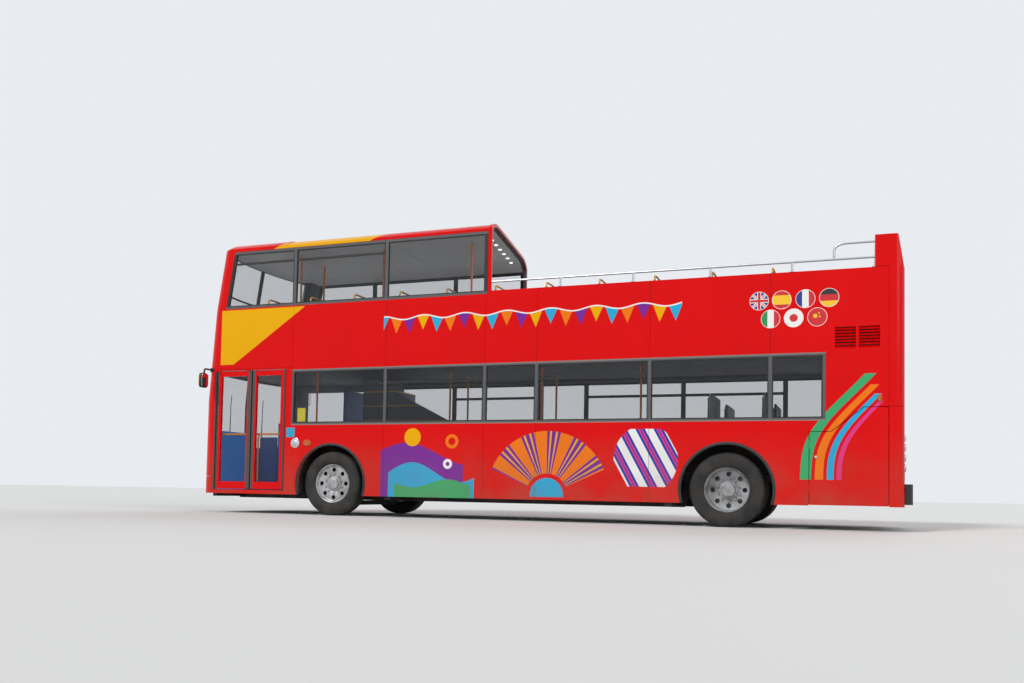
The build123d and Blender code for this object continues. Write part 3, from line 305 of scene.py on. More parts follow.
rubber = worn("tyre_rubber", (5.0, 5.0), (30, 30, 31), (58, 55, 51), (0.25, 0.6), (0.5, 0.35, 1.0),
              (90.0, 4.0, 0.0012), Specular_IOR_Level=0.35)
rim_paint = worn("rim_paint", (7.0, 5.0), (176, 178, 180), (104, 98, 90), (0.35, 0.28), (0.56, 0.25, 0.7),
                 (45.0, 2.0, 0.0004), Metallic=0.35)
# rows of radius and distance from the middle: bead and wall, shoulder, ribs of the tread
half = [(0.287, 0.105), (0.300, 0.122), (0.330, 0.133), (0.372, 0.138), (0.412, 0.137), (0.440, 0.131),
        (0.460, 0.122), (0.4715, 0.108), (0.4765, 0.092), (0.4782, 0.074), (0.466, 0.071), (0.466, 0.063),
        (0.4785, 0.060), (0.4785, 0.028), (0.466, 0.025), (0.466, 0.017), (0.4785, 0.014)]
tyre_rows = half + [(r, -w) for r, w in half[::-1]] + half[:1]
front_barrel = [(0.286, -0.105), (0.292, -0.100), (0.280, -0.088), (0.272, -0.060), (0.268, 0.0), (0.258, 0.045),
                (0.250, 0.050), (0.250, 0.064), (0.262, 0.070), (0.268, 0.085), (0.274, 0.100), (0.286, 0.105)]
front_hub = [(0.035, -0.04), (0.110, -0.04), (0.110, 0.045), (0.118, 0.060), (0.112, 0.070), (0.085, 0.074),
             (0.082, 0.098), (0.070, 0.104), (0.030, 0.1045), (0.0, 0.1045)]
outer_barrel = [(0.286, 0.105), (0.292, 0.100), (0.280, 0.088), (0.272, 0.060), (0.268, -0.03), (0.258, -0.080),
                (0.250, -0.086), (0.250, -0.098), (0.262, -0.098), (0.274, -0.100), (0.286, -0.105)]
inner_barrel = [(0.286, 0.105), (0.274, 0.085), (0.268, 0.0), (0.262, -0.095), (0.110, -0.098), (0.110, 0.0)]
rear_hub = [(0.035, -0.276), (0.110, -0.276), (0.110, -0.092), (0.120, -0.078), (0.118, -0.070), (0.092, -0.066),
            (0.090, -0.020), (0.080, -0.012), (0.030, -0.010), (0.0, -0.010)]
for side, name in ((-1, "left"), (1, "right")):
    y, body = side * FRONT_Y, f"wheel_front_{name}"
    lay(f"tyre_front_{name}", on_axle(tyre_rows, FRONT_X, y, 1), rubber, f"front_tyre_{name}", body)
    shapes = [on_axle(front_barrel, FRONT_X, y, side), on_axle(front_hub, FRONT_X, y, side, 48)]
    face = y + side * FRONT_FACE
    shapes += holed_disc(FRONT_X, face, side) + nut_ring(FRONT_X, face + side * 0.008, side)
    lay(f"rim_front_{name}", shapes, rim_paint, f"front_rim_{name}", body)
    y, inner_y, body = side * OUTER_Y, side * INNER_Y, f"wheels_rear_{name}"
    twins = [on_axle(tyre_rows, REAR_X, at, 1) for at in (y, inner_y)]
    lay(f"tyres_rear_{name}", twins, rubber, f"rear_tyres_{name}", body)
    shapes = [on_axle(outer_barrel, REAR_X, y, side), on_axle(inner_barrel, REAR_X, inner_y, -side),
              on_axle(rear_hub, REAR_X, y, side, 48)]
    face = y - side * REAR_FACE
    shapes += holed_disc(REAR_X, face, side, -0.012) + nut_ring(REAR_X, face, side)
    lay(f"rims_rear_{name}", shapes, rim_paint, f"rear_rims_{name}", body)

# Lower sides: aluminium skirt panels in bright red gloss over a steel frame, screwed on in lengths, with printed
# sheets of plain shapes stuck on them. The same finish serves the engine flap and the panels between the decks.
RED, YELLOW, SEAM, POST_GREY = shade(220, 2, 4), shade(236, 172, 0), shade(70, 4, 6), shade(84, 74, 72)
PURPLE, CYAN, ORANGE = shade(122, 42, 150), shade(40, 170, 214), shade(240, 122, 22)
GREEN, BLUE, WHITE, PINK = shade(60, 170, 110), shade(28, 62, 168), shade(240, 240, 238), shade(226, 60, 130)
WAIST, LOWER_TOP, UPPER_TOP = 1.351, 2.199, 4.076
DOOR_POST, LOWER_POSTS, LAST_POST, TAIL_SEAM = -3.476, (-1.888, -0.322, 0.449, 2.022), 3.560, 4.950
PRINT = 0.006  # softness of a printed edge


def red_gloss(name):
    """Red coachwork finish, with road dust low down; its colours are painted on before gloss_coat."""
    finish = Finish(name, Coat_Roughness=0.08, Specular_IOR_Level=0.10)
    finish.dirt = (1 - finish.z.over(0.75, 1.0)) * finish.grain(2.2, 5.0).over(0.45, 0.5)
    finish.colour = RED
    return finish


def gloss_coat(finish, lined=False):
    """Last steps of the coachwork finish: dust, slight waviness and coat. A lined panel is grey inside."""
    finish.paint(finish.dirt * 0.45, shade(128, 96, 80))
    if lined:
        finish.paint(abs(finish.y).under(1.226, 0.004), shade(120, 122, 126))
    value = finish.grain(1.3, 1.0) * 0.14 + 0.93
    tone = finish.node("ShaderNodeHueSaturation", {}, {"Color": finish.colour, "Value": value})
    finish.feed(Base_Color=tone, Roughness=finish.dirt * 0.35 + 0.16 + finish.grain(30.0, 2.0) * 0.05,
                Coat_Weight=0.12 - finish.dirt * 0.1)
    return finish.relief(finish.grain(2.0, 0.0), 0.0025)


def sweep_areas(finish):
    """Yellow areas: one between the decks behind the front corner, one on the roof from over the windows. Each
    is cut by slanted lines, written as a station and how far they run along the bus for each metre up."""
    x, z = finish.x, finish.z
    front = ((z - 2.300) * 1.487 - 4.563 - x).over(0.0) * z.between(2.305, 3.160)
    rise = z - UPPER_TOP
    top = z.over(4.079) * (x + 3.882 - rise * 2.2).over(0.0) * (rise * 2.1 - 2.200 - x).over(0.0)
    finish.paint(front | top, YELLOW)


def seams(finish, places, low, high):
    """Dark vertical joints between panels."""
    for place in places:
        finish.paint(finish.x.near(place, 0.005, 0.002) * finish.z.between(low, high) * 0.8, SEAM)


def disc_of(finish, cx, cz, radius, soft=PRINT):
    """Mask of a round area in the side view."""
    return (((finish.x - cx) ** 2 + (finish.z - cz) ** 2) ** 0.5).under(radius, soft)


def printed_sheets(finish):
    """Plain printed shapes on the skirts: hills, rings, rays, bands and ribbons, of no particular subject."""
    x, z = finish.x, finish.z
    side = abs(finish.y).over(1.2)
    for waves, shift, swing, height, start, end, paint in ((3.1, 0.0, 0.16, 0.92, -1.93, -0.62, PURPLE),
                                                           (4.3, 1.4, 0.14, 0.66, -1.80, -0.45, CYAN),
                                                           (5.7, 0.2, 0.06, 0.50, -1.70, -0.50, GREEN)):
        hill = (z - (x * waves + shift).sine() * swing - height).under(0.0, PRINT)
        finish.paint(hill * x.between(start, end, PRINT) * side, paint)
    finish.paint(disc_of(finish, -1.42, 1.16, 0.13) * side, YELLOW)
    for cx, cz, radius, hollow, paint in ((-0.80, 1.10, 0.10, 0.055, ORANGE), (-0.86, 0.78, 0.07, 0.03, WHITE)):
        finish.paint((disc_of(finish, cx, cz, radius) - disc_of(finish, cx, cz, hollow)) * side, paint)
    # a fan of rays between the wheels
    fan_x, fan_z = x - 0.62, z - 0.36
    angle = x.maths("ARCTAN2", fan_z, fan_x)
    reach = (fan_x ** 2 + fan_z ** 2) ** 0.5
    ray = (angle * 14.0).sine()
    fan = reach.between(0.30, 0.88, PRINT) * angle.between(0.42, 2.72, PRINT)
    finish.paint(fan * side, finish.mix(ray.over(0.0, 0.1), ORANGE, PURPLE))
    finish.paint(fan * ray.near(0.75, 0.28, 0.08) * side, YELLOW)
    finish.paint(reach.under(0.24, PRINT) * fan_z.over(-0.02) * side, CYAN)
    # slanted bands before the rear wheel
    lean = x + z * 0.55
    oval = (((x - 1.98) ** 2) * 3.4 + (z - 0.86) ** 2 * 3.0).under(0.62, 0.02)
    band = lean.between(2.02, 2.92, PRINT) * z.between(0.50, 1.26, PRINT) * oval
    stripe = (lean * 26.0).sine()
    finish.paint(band * side, finish.mix(stripe.over(0.1, 0.1), BLUE, WHITE))
    finish.paint(band * stripe.near(-0.85, 0.24, 0.08) * side, PINK)
    # ribbons that rise behind the rear wheel
    ribbons = ((0.0, 0.13, GREEN), (0.17, 0.10, ORANGE), (0.31, 0.08, CYAN), (0.42, 0.06, PINK))
    for shift, thick, paint in ribbons:
        ribbon = x - 3.86 - shift - (z * z) * 0.22 - (z * 4.0 + shift).sine() * 0.07
        tall = z.between(0.62, 1.92 - shift * 0.8, PRINT)
        finish.paint(abs(ribbon).under(thick / 2, PRINT) * tall * side, paint)


skirt = red_gloss("skirt_gloss")
printed_sheets(skirt)
seams(skirt, LOWER_POSTS, 0.30, WAIST)
seams(skirt, (TAIL_SEAM,), 0.30, LOWER_TOP)
skirt.paint(skirt.x.under(-4.846) * skirt.y.under(-1.0) * skirt.z.over(0.345), POST_GREY)
gloss_coat(skirt, True).on("nearside_skirt", "offside_skirt", "engine_flap")

mid_gloss = red_gloss("mid_panel_gloss")
sweep_areas(mid_gloss)
seams(mid_gloss, (DOOR_POST, *LOWER_POSTS, LAST_POST, TAIL_SEAM), LOWER_TOP, 3.23)
x, z = mid_gloss.x, mid_gloss.z
pennant = 0.215  # width and depth of one pennant
string = 2.93 - ((x * 4.9).sine() ** 2) * 0.055
swag = x.between(-1.93, 2.44)
cell = (x + 10.0) % pennant - pennant / 2
pick = x.maths("FLOOR", (x + 10.0) / pennant) % 4.0
hue = YELLOW
for number, paint in enumerate((CYAN, ORANGE, PURPLE)):
    hue = mid_gloss.mix(pick.over(number + 0.5, 0.1), hue, paint)
mid_gloss.paint((string - z).over(0.0) * (abs(cell) * 2.3 + (string - z)).under(pennant) * swag, hue)
mid_gloss.paint(abs(z - string).under(0.009) * swag, WHITE)
gloss_coat(mid_gloss, True).on("nearside_mid_panel", "offside_mid_panel", "side_louvres")

# Front and rear shells: moulded glass-fibre panels in the same red gloss, 40 mm thick at their flanges. The
# front is bowed in plan, has rounded corners and leans back in three straight runs. The rear corners are tighter.
NOSE, HALF, TAIL, UPPER_SILL = -5.225, 1.260, 5.130, 3.180
POST_BACK, RAKE = 0.494, 0.159  # end of the upper side posts behind the nose, lean of the upper deck per metre
BOW, CORNER, REAR_CORNER, SKIN = 5.0, 0.2, 0.15, 0.04
SCREEN_HALF = (HALF - CORNER) * BOW / (BOW - CORNER)
FRONT_SPLIT, BAND_END, SEAM_X = -4.888, -4.798, 4.953


def lean_back(z):
    """How far the nose stands back at a height: nothing to 1.75, 0.105 more by 3.18, then 0.159 per metre."""
    return np.interp(z, [0, 1.75, 3.18, 5.0], [0, 0, 0.105, 0.105 + RAKE * 1.82])


def bowed_line(back, inset, bow_steps=28, corner_steps=12):
    """Plan of the nose from the nearside to the offside: corner arc, bow, corner arc."""
    half, bow = HALF - inset, BOW - inset
    corner = min(max(CORNER - inset, 0.06), half * 0.5)
    corner_y = half - corner
    centre_x = NOSE + back + inset + bow
    corner_x = centre_x - np.sqrt((bow - corner) ** 2 - corner_y ** 2)
    meet = np.arcsin(corner_y / (bow - corner))
    a = np.linspace(0, meet, bow_steps // 2 + 1)
    b = np.linspace(meet, np.pi / 2, corner_steps + 1)[1:]
    x = np.concatenate([centre_x - bow * np.cos(a), corner_x - corner * np.cos(b)])
    y = np.concatenate([bow * np.sin(a), corner_y + corner * np.sin(b)])
    return np.concatenate([x[:0:-1], x]), np.concatenate([-y[:0:-1], y])


def thick_sheet(outer, inner, keep=None):
    """Two grids of points as the faces of a wall. Cells that aren't kept stay open; the edges are closed."""
    rows, columns = outer.shape[:2]
    keep = np.ones((rows - 1, columns - 1), bool) if keep is None else keep
    quads = grid_faces(rows, columns)[keep.reshape(-1)]
    n = rows * columns
    faces = [quads, quads[:, ::-1] + n]
    padded = np.pad(keep, 1)
    index = np.arange(n).reshape(rows, columns)
    sides = ((padded[:-2, 1:-1], index[:-1, :-1], index[:-1, 1:]),
             (padded[2:, 1:-1], index[1:, 1:], index[1:, :-1]),
             (padded[1:-1, :-2], index[1:, :-1], index[:-1, :-1]),
             (padded[1:-1, 2:], index[:-1, 1:], index[1:, 1:]))
    for beyond, first, second in sides:
        a, b = first[keep & ~beyond], second[keep & ~beyond]
        faces.append(np.stack([b, a, a + n, b + n], -1))
    return np.concatenate([outer.reshape(-1, 3), inner.reshape(-1, 3)]), np.concatenate(faces).tolist()


def level_lines(lines, levels):
    """Grid of points from one plan line (x, y) per height."""
    return np.stack([np.stack([*line, np.full(len(line[0]), z)], -1) for line, z in zip(lines, levels)])


def nose_shell(levels, end_x, hole=False):
    """Wall of the nose between heights, from its corners straight back to an end line, open at a screen."""
    grids = []
    for inset in (0.0, SKIN):
        lines = []
        for z in levels:
            px, py = bowed_line(lean_back(z), inset)
            lines.append((np.concatenate([[end_x(z)], px, [end_x(z)]]),
                          np.concatenate([[inset - HALF], py, [HALF - inset]])))
        grids.append(level_lines(lines, levels))
    keep = np.ones((len(levels) - 1, grids[0].shape[1] - 1), bool)
    if hole:
        y = np.abs(grids[0][0, :, 1])
        keep[:, np.maximum(y[1:], y[:-1]) <= SCREEN_HALF + 1e-4] = False
    return thick_sheet(*grids, keep)


def tail_shell(levels, open_row=None, steps=10):
    """Wall of the tail between heights, from the nearside seam round both corners to the offside seam; the cells
    of a row between the engine cover's edges are left open if asked."""
    grids = []
    for inset in (0.0, SKIN):
        half, corner, end = HALF - inset, REAR_CORNER - inset, TAIL - inset
        b = np.linspace(0, np.pi / 2, steps + 1)
        x = np.concatenate([[SEAM_X], end - corner + corner * np.sin(b), [end, end]])
        y = np.concatenate([[-half], -(half - corner) - corner * np.cos(b), [-0.880, 0.0]])
        line = np.concatenate([x, x[-2::-1]]), np.concatenate([y, -y[-2::-1]])
        grids.append(level_lines([line] * len(levels), levels))
    keep = np.ones((len(levels) - 1, len(line[0]) - 1), bool)
    if open_row is not None:
        y = np.abs(grids[0][0, :, 1])
        keep[open_row, np.maximum(y[1:], y[:-1]) < 0.881] = False
    return thick_sheet(*grids, keep)


def panel(name, shape, finish, node, middle):
    """Red panel that stands for a node; its faces that look toward the middle get the grey lining."""
    made = lay(name, shape, finish, node)
    made.data.materials.append(shell_lining.material)
    for face in made.data.polygons:
        if face.normal.dot((face.center - Vector(middle)).normalized()) < -0.15:
            face.material_index = 1


front_gloss = gloss_coat(red_gloss("front_gloss"))
shell_lining = worn("shell_lining", (300.0, 2.0), (96, 98, 102), (116, 118, 122), (0.2, 0.5),
                    bump=(300.0, 2.0, 0.0003))
panel("bumper_skin", nose_shell((0.300, 0.318, 0.43, 0.545, 0.560), lambda z: FRONT_SPLIT), front_gloss,
      "front_bumper", (-4.0, 0, 0.45))
lower = nose_shell((0.566, 0.580, 0.82, 1.080), lambda z: FRONT_SPLIT)
cheeks = nose_shell((1.080, 1.42, 1.750, 1.98, LOWER_TOP), lambda z: FRONT_SPLIT, True)
panel("front_panel_skin", [lower, cheeks], front_gloss, "front_panel", (-4.0, 0, 1.2))
panel("front_band_skin", nose_shell((LOWER_TOP, 2.212, 2.45, 2.80, UPPER_SILL), lambda z: BAND_END), front_gloss,
      "front_band", (-4.0, 0, 2.7))
posts = nose_shell((UPPER_SILL, 3.4, 3.7, 3.9, UPPER_TOP),
                   lambda z: NOSE + POST_BACK + RAKE * (z - UPPER_SILL), True)
panel("upper_front_posts_skin", posts, front_gloss, "upper_front_posts", (-4.0, 0, 3.6))
rear_gloss = red_gloss("rear_gloss")
rear_gloss.paint(rear_gloss.z.near(3.227, 0.007) * rear_gloss.x.under(SEAM_X) * 0.8, SEAM)
gloss_coat(rear_gloss).on("rear_tower", "engine_cover")
panel("rear_lower_skin", tail_shell((0.300, 0.640, 1.420, 1.516), 1), rear_gloss, "rear_lower_panel",
      (4.0, 0, 0.9))
panel("rear_upper_skin", tail_shell((1.520, 1.9, 2.6, 3.215, 3.223)), rear_gloss, "rear_upper_panel",
      (4.0, 0, 2.4))

# Roof over the front half of the upper deck: one glass-fibre moulding at the front that ends in a small lip, a
# crowned skin behind it with the yellow edge stripe, and a hoop of bent section round the slanted open end.
OPEN_X, SLANT, HOOP_W, DOME_END = -0.246, 0.370, 0.056, -3.640
CANT_TOP, ROOF_TOP, CROWN_W = 4.125, 4.250, 0.9
INSETS = np.array([0, 0, 0.004, 0.012, 0.025, 0.045, 0.07, 0.10, 0.14, 0.19, 0.26, 0.35, 0.48, 0.65, 0.85, 1.05,
                   1.2, 1.255])


def crown_height(inset):
    """Height of the roof so far in from its edge: cant + rise (1 - (1 - inset / width)^7)."""
    return CANT_TOP + (ROOF_TOP - CANT_TOP) * (1 - (1 - np.clip(inset / CROWN_W, 0, 1)) ** 7)


def slant_x(y, back=0.0):
    """Station of the slanted roof end at a distance across the bus."""
    return OPEN_X - back - SLANT * (y + HALF) / (2 * HALF)


def crown_line(drop, inset):
    """Section across the roof from the nearside window head over the top to the offside: y and z."""
    i = np.append(INSETS[:-2], HALF)
    z = crown_height(i) - drop
    z[0] = UPPER_TOP
    z = np.where(z > UPPER_TOP + 0.001, z - inset, z)
    y = -(HALF - i) * (HALF - inset) / HALF
    return np.concatenate([y, -y[-2::-1]]), np.concatenate([z, z[-2::-1]])


def crowned_run(start, end, drop, steps=4):
    """Roof wall between two end lines, each a function of y."""
    grids = []
    for inset in (0.0, SKIN):
        y, z = crown_line(drop, inset)
        t = np.linspace(0, 1, steps)[:, None]
        x = start(y) * (1 - t) + end(y) * t
        grids.append(np.stack([x, np.broadcast_to(y, x.shape), np.broadcast_to(z, x.shape)], -1)[::-1])
    return thick_sheet(*grids)


roof_gloss = red_gloss("roof_gloss")
sweep_areas(roof_gloss)
gloss_coat(roof_gloss)
heights = crown_height(INSETS)
heights[0] = UPPER_TOP
rings = []
for thick in (0.0, SKIN):
    lines = []
    for inset, height in zip(INSETS, heights):
        px, py = bowed_line(lean_back(height), inset * (1 - thick / HALF) + thick)
        lines.append((np.minimum(np.concatenate([[DOME_END], px, [DOME_END]]), DOME_END),
                      np.concatenate([py[:1], py, py[-1:]])))
    rings.append(level_lines(lines, heights - thick * (INSETS > 0)))
panel("roof_front_skin", thick_sheet(*rings), roof_gloss, "roof_front", (-3.6, 0, 3.5))
roof = crowned_run(lambda y: np.full(len(y), DOME_END), lambda y: slant_x(y, HOOP_W), 0.010)
panel("roof_skin", roof, roof_gloss, "roof", (-2.0, 0, 3.0))
hoop = [crowned_run(lambda y: slant_x(y, HOOP_W), slant_x, 0.0)]
for side in (-1, 1):
    x2 = [slant_x(side * (HALF - inset)) for inset in (0.0, SKIN)]
    corners = [(x2[0] - HOOP_W, side * HALF), (x2[0], side * HALF), (x2[1], side * (HALF - SKIN)),
               (x2[1] - HOOP_W, side * (HALF - SKIN))]
    leg = np.array([[(*corner, z) for corner in corners] for z in (UPPER_SILL, UPPER_TOP + 0.002)])
    hoop.append((leg, grid_faces(2, 4, wrap_columns=True).tolist() + [(3, 2, 1, 0), (4, 5, 6, 7)]))
panel("roof_hoop_skin", hoop, front_gloss, "roof_end_hoop", (-0.5, 0, 3.0))

# Ceiling of the covered part: grey laminate sheets held up by cross bands and turned down at the walls, with
# small round lamps pressed in along the open edge.
# The grey sheets also glow faintly in their own speckled colour: painted light, since the sheets are no lamps.
ceiling_grey = Finish("ceiling_grey", Roughness=0.5, Emission_Strength=0.08)
speck = ceiling_grey.mix(ceiling_grey.grain(160.0, 2.0), shade(186, 188, 190), shade(206, 207, 208))
ceiling_grey.feed(Base_Color=speck, Emission_Color=speck)
lamp_glow = Finish("ceiling_lamp", Base_Color=(0.9, 0.9, 0.88, 1), Roughness=0.3, Emission_Strength=1.2)
lamp_glow.feed(Emission_Color=lamp_glow.mix(lamp_glow.grain(20.0), (0.9, 0.92, 0.95, 1), (1, 1, 1, 1)))
LINING_HALF, CEILING_DROP = 1.217, 0.058
y = np.concatenate([[-LINING_HALF], np.linspace(-1.214, 1.214, 45), [LINING_HALF]])
front_x = NOSE + 0.251 + 0.045 + BOW - np.sqrt(BOW ** 2 - y ** 2)


def lining_rows(starts, ends, drop, count):
    """Strip of the ceiling between two lines across it: z is the lower of the heights over the side edge and
    over the bowed front edge, less the skin and the gap, and it turns down at the walls."""
    t = np.linspace(0, 1, count)[:, None] ** 2
    x = starts * (1 - t) + ends * t
    over_side, over_front = crown_height(HALF - np.abs(y) * HALF / (HALF - SKIN)), crown_height(x - front_x)
    z = np.minimum(over_side, over_front) - CEILING_DROP - drop
    top = np.stack([x, np.broadcast_to(y, x.shape), np.maximum(z, 4.078)], -1)
    return thick_sheet(top, top - np.array([0, 0, 0.006]))


def upright(rows, x, y, z, radius=1.0, height=1.0, steps=20):
    """Turned shape on an upright line: rows (r, h) give point = centre + radius r around it, z + height h."""
    a = np.linspace(0, 2 * np.pi, steps, endpoint=False)
    lines = [(x + radius * r * np.cos(a), y + radius * r * np.sin(a)) for r, h in rows]
    return level_lines(lines, [z + height * h for r, h in rows]), grid_faces(len(rows), steps, wrap_columns=True)


lining = [lining_rows(front_x + 0.012 + 0.15 * np.abs(y / LINING_HALF) ** 10, slant_x(y, 0.075), 0.0, 26)]
bands_at = np.arange(-4.1, -0.9, 0.62)
lining += [lining_rows(np.full(len(y), x), np.full(len(y), x + 0.05), 0.010, 2) for x in bands_at]
lay("ceiling_lining", lining, ceiling_grey)
button = [(1.0, 0.0), (1.0, 0.5), (0.85, 0.85), (0.5, 1.0), (0.0, 1.0)]
spots = [upright(button, slant_x(v, 0.22), v, crown_height(HALF - abs(v)) - 0.066, 0.028, -0.012)
         for v in np.linspace(-0.95, 0.95, 8)]
lay("ceiling_lamps", spots, lamp_glow)

# Windows: grey-tinted toughened glass in grey-brown aluminium frames, bedded in black rubber seals. The bars of
# the screens and the rear bumper are black rubber, and the destination glass is left bare.
POST_W = 0.044
worn("grey_tinted_glass", (0.9, 2.0), (44, 50, 56), (62, 68, 74), Roughness=0.03, IOR=1.5, Alpha=0.15,
     Specular_IOR_Level=0.8).on("side_glass", "front_glass", "door_glass_front", "door_glass_rear")
trim = Finish("window_frame", Metallic=0.15)
scuff = trim.grain(14.0, 5.0)
trim.colour = trim.mix(scuff, shade(74, 74, 76), shade(92, 91, 92))
low_band = trim.z.under(2.6)
metal = trim.x.under(-3.447) | trim.x.over(4.188)
for place in (*LOWER_POSTS, LAST_POST):
    metal = metal | trim.x.near(place, POST_W)
upper_metal = trim.x.near(DOOR_POST, POST_W) | trim.x.near(-1.908, POST_W)
gasket = trim.z.between(1.387, 2.163) * (1 - metal) * low_band
upper_gasket = trim.z.between(3.216, 4.040) * (1 - upper_metal) * (1 - low_band)
trim.paint(low_band * (trim.z.over(2.183) | trim.z.under(1.366)), shade(134, 126, 118))
trim.paint(gasket | upper_gasket, shade(22, 22, 24))
trim.feed(Base_Color=trim.colour, Roughness=scuff * 0.3 + 0.35).on("window_trim")
black_rubber = worn("black_rubber", (25.0, 4.0), (20, 20, 21), (40, 40, 40), (0.3, 0.45),
                    bump=(300.0, 2.0, 0.0003))
black_rubber.on("screen_bars", "rear_bumper")
worn("display_glass", (2.0,), (9, 9, 11), (17, 18, 21), Roughness=0.32,
     Specular_IOR_Level=0.4).on("destination_blind")

# Doors: two aluminium leaves in red gloss with deep glass in black seals, grey strips at their ends and orange
# bars inside. Each swings in about its outer post.
door_gloss = Finish("door_gloss", Coat_Weight=0.12, Coat_Roughness=0.08, Specular_IOR_Level=0.10)
door_gloss.colour = door_gloss.mix(door_gloss.x.under(-4.814) | door_gloss.x.over(-3.630), RED, POST_GREY)
door_gloss.paint(door_gloss.x.near(-4.211, 0.130), shade(88, 82, 80))
door_gloss.paint(door_gloss.x.near(-4.203, 0.020), shade(26, 26, 27))
door_gloss.paint(door_gloss.y.over(-1.205, 0.002), shade(246, 150, 24))
door_gloss.feed(Base_Color=door_gloss.colour, Roughness=door_gloss.grain(8.0, 5.0) * 0.2 + 0.15)
door_gloss.relief(door_gloss.grain(2.5, 0.0), 0.002).on("door_leaf_front", "door_leaf_rear")

# Lower saloon: speckled dark vinyl floor, laminate stairs with yellow nosings, orange-coated poles, blue cab
# partition and dark pebbled mouldings.
worn("floor_vinyl", (420.0, 1.0), (52, 54, 60), (120, 122, 130), (0.3, 0.45), (0.62, 0.06, 1.0),
     (420.0, 1.0, 0.0004), (6.0, 3.0)).on("lower_floor", "upper_floor")
stair_grey = Finish("stair_laminate")
rub = stair_grey.grain(12.0, 4.0)
stair_grey.colour = stair_grey.mix(rub, shade(96, 100, 108), shade(116, 120, 127))
stair_grey.paint(((stair_grey.z - 0.36) % 0.24125).over(0.224, 0.004), YELLOW)
stair_grey.feed(Base_Color=stair_grey.colour, Roughness=rub * 0.25 + 0.4).on("staircase")
orange_coat = worn("orange_coat", (35.0, 4.0), (252, 146, 26), (226, 112, 10), (0.2, 0.25), (0.6, 0.2, 1.0),
                   Coat_Weight=0.3).on("grab_poles")
worn("blue_laminate", (200.0, 2.0), (28, 78, 160), (40, 92, 178), (0.2, 0.35)).on("cab_partition")
moulded = worn("dark_moulding", (6.0, 3.0), (38, 39, 42), (54, 55, 58), (0.2, 0.5),
               bump=(500.0, 2.0, 0.0005), second=(500.0, 2.0)).on("dashboard", "steering_wheel")

# Seats: a moulded shell on a steel leg under two upholstered pads, woven in dark blue with small bright
# figures. The backs on the upper deck carry a coated grab bar along the top.
def flat_box(low, high):
    """Middle and half sizes of a box, its thinnest axis and the other two."""
    low, high = np.array(low), np.array(high)
    half = (high - low) / 2
    thin = int(np.argmin(half))
    return (low + high) / 2, half, thin, [n for n in range(3) if n != thin]


def box_shape(low, high, bevel=0.008):
    """Rounded block: eight-sided sections at four heights, drawn in by the bevel at the ends."""
    (x1, y1, z1), (x2, y2, z2) = low, high
    rows = []
    for z, b in ((z1, bevel), (z1 + bevel, 0), (z2 - bevel, 0), (z2, bevel)):
        c = bevel + b
        rows.append([(x1 + c, y1 + b, z), (x2 - c, y1 + b, z), (x2 - b, y1 + c, z), (x2 - b, y2 - c, z),
                     (x2 - c, y2 - b, z), (x1 + c, y2 - b, z), (x1 + b, y2 - c, z), (x1 + b, y1 + c, z)])
    quads = grid_faces(4, 8, wrap_columns=True).tolist()
    return np.array(rows), quads + [list(range(7, -1, -1)), list(range(24, 32))]


def tube(path, radius, flat, sides=12):
    """Round tube along a path: each ring is path + r (cos a n + sin a b), where n is the flat direction across
    the path's plane and b = tangent x n; the ends are closed by rings of no radius."""
    path = np.asarray(path, float)
    flat = np.broadcast_to(np.asarray(flat, float), path.shape)
    other = np.cross(np.gradient(path, axis=0), flat)
    other /= np.linalg.norm(other, axis=1)[:, None]
    a = np.linspace(0, 2 * np.pi, sides, endpoint=False)[None, :, None]
    rows = path[:, None] + radius * (np.cos(a) * flat[:, None] + np.sin(a) * other[:, None])
    rows = np.concatenate([np.repeat(path[:1, None], sides, 1), rows, np.repeat(path[-1:, None], sides, 1)])
    return rows, grid_faces(len(rows), sides, wrap_columns=True)


def bent(points, radius, steps=7):
    """Path through corner points with each corner rounded: p(t) = (1-t)^2 a + 2t(1-t) corner + t^2 b."""
    points = [np.array(p, float) for p in points]
    path = [points[0]]
    for before, corner, after in zip(points, points[1:], points[2:]):
        a, b = (corner + way / np.linalg.norm(way) * min(radius, np.linalg.norm(way) * 0.49)
                for way in (before - corner, after - corner))
        t = np.linspace(0, 1, steps)[:, None]
        path += list((1 - t) ** 2 * a + 2 * t * (1 - t) * corner + t ** 2 * b)
    return np.array(path + [points[-1]])


def cushion(low, high, crown, pinch=0.03, steps=15):
    """Two sewn panels that meet in a seam at half height: over s, t from -1 to 1 each panel is
    x = s (1 - 0.05 t^6)(1 - pinch (1 - t^2)), y the same with s and t changed, and its height is
    ((1 - s^8)(1 - t^8))^0.4 (1 - crown + crown (1 - s^2)(1 - t^2))."""
    mid, half, thin, (one, two) = flat_box(low, high)
    spread = np.sin(np.linspace(-1, 1, steps) * np.pi / 2)
    s, t = np.meshgrid(spread, spread, indexing="ij")
    rise = (np.abs(1 - s ** 8) * np.abs(1 - t ** 8)) ** 0.4 * (1 - crown + crown * (1 - s ** 2) * (1 - t ** 2))
    panels = []
    for way in (1, -1):
        out = np.zeros(s.shape + (3,))
        out[..., one] = mid[one] + half[one] * s * (1 - 0.05 * t ** 6) * (1 - pinch * (1 - t ** 2))
        out[..., two] = mid[two] + half[two] * t * (1 - 0.05 * s ** 6) * (1 - pinch * (1 - s ** 2))
        out[..., thin] = mid[thin] + half[thin] * way * rise
        panels.append((out, grid_faces(steps, steps)[:, ::way]))
    return joined(*panels)


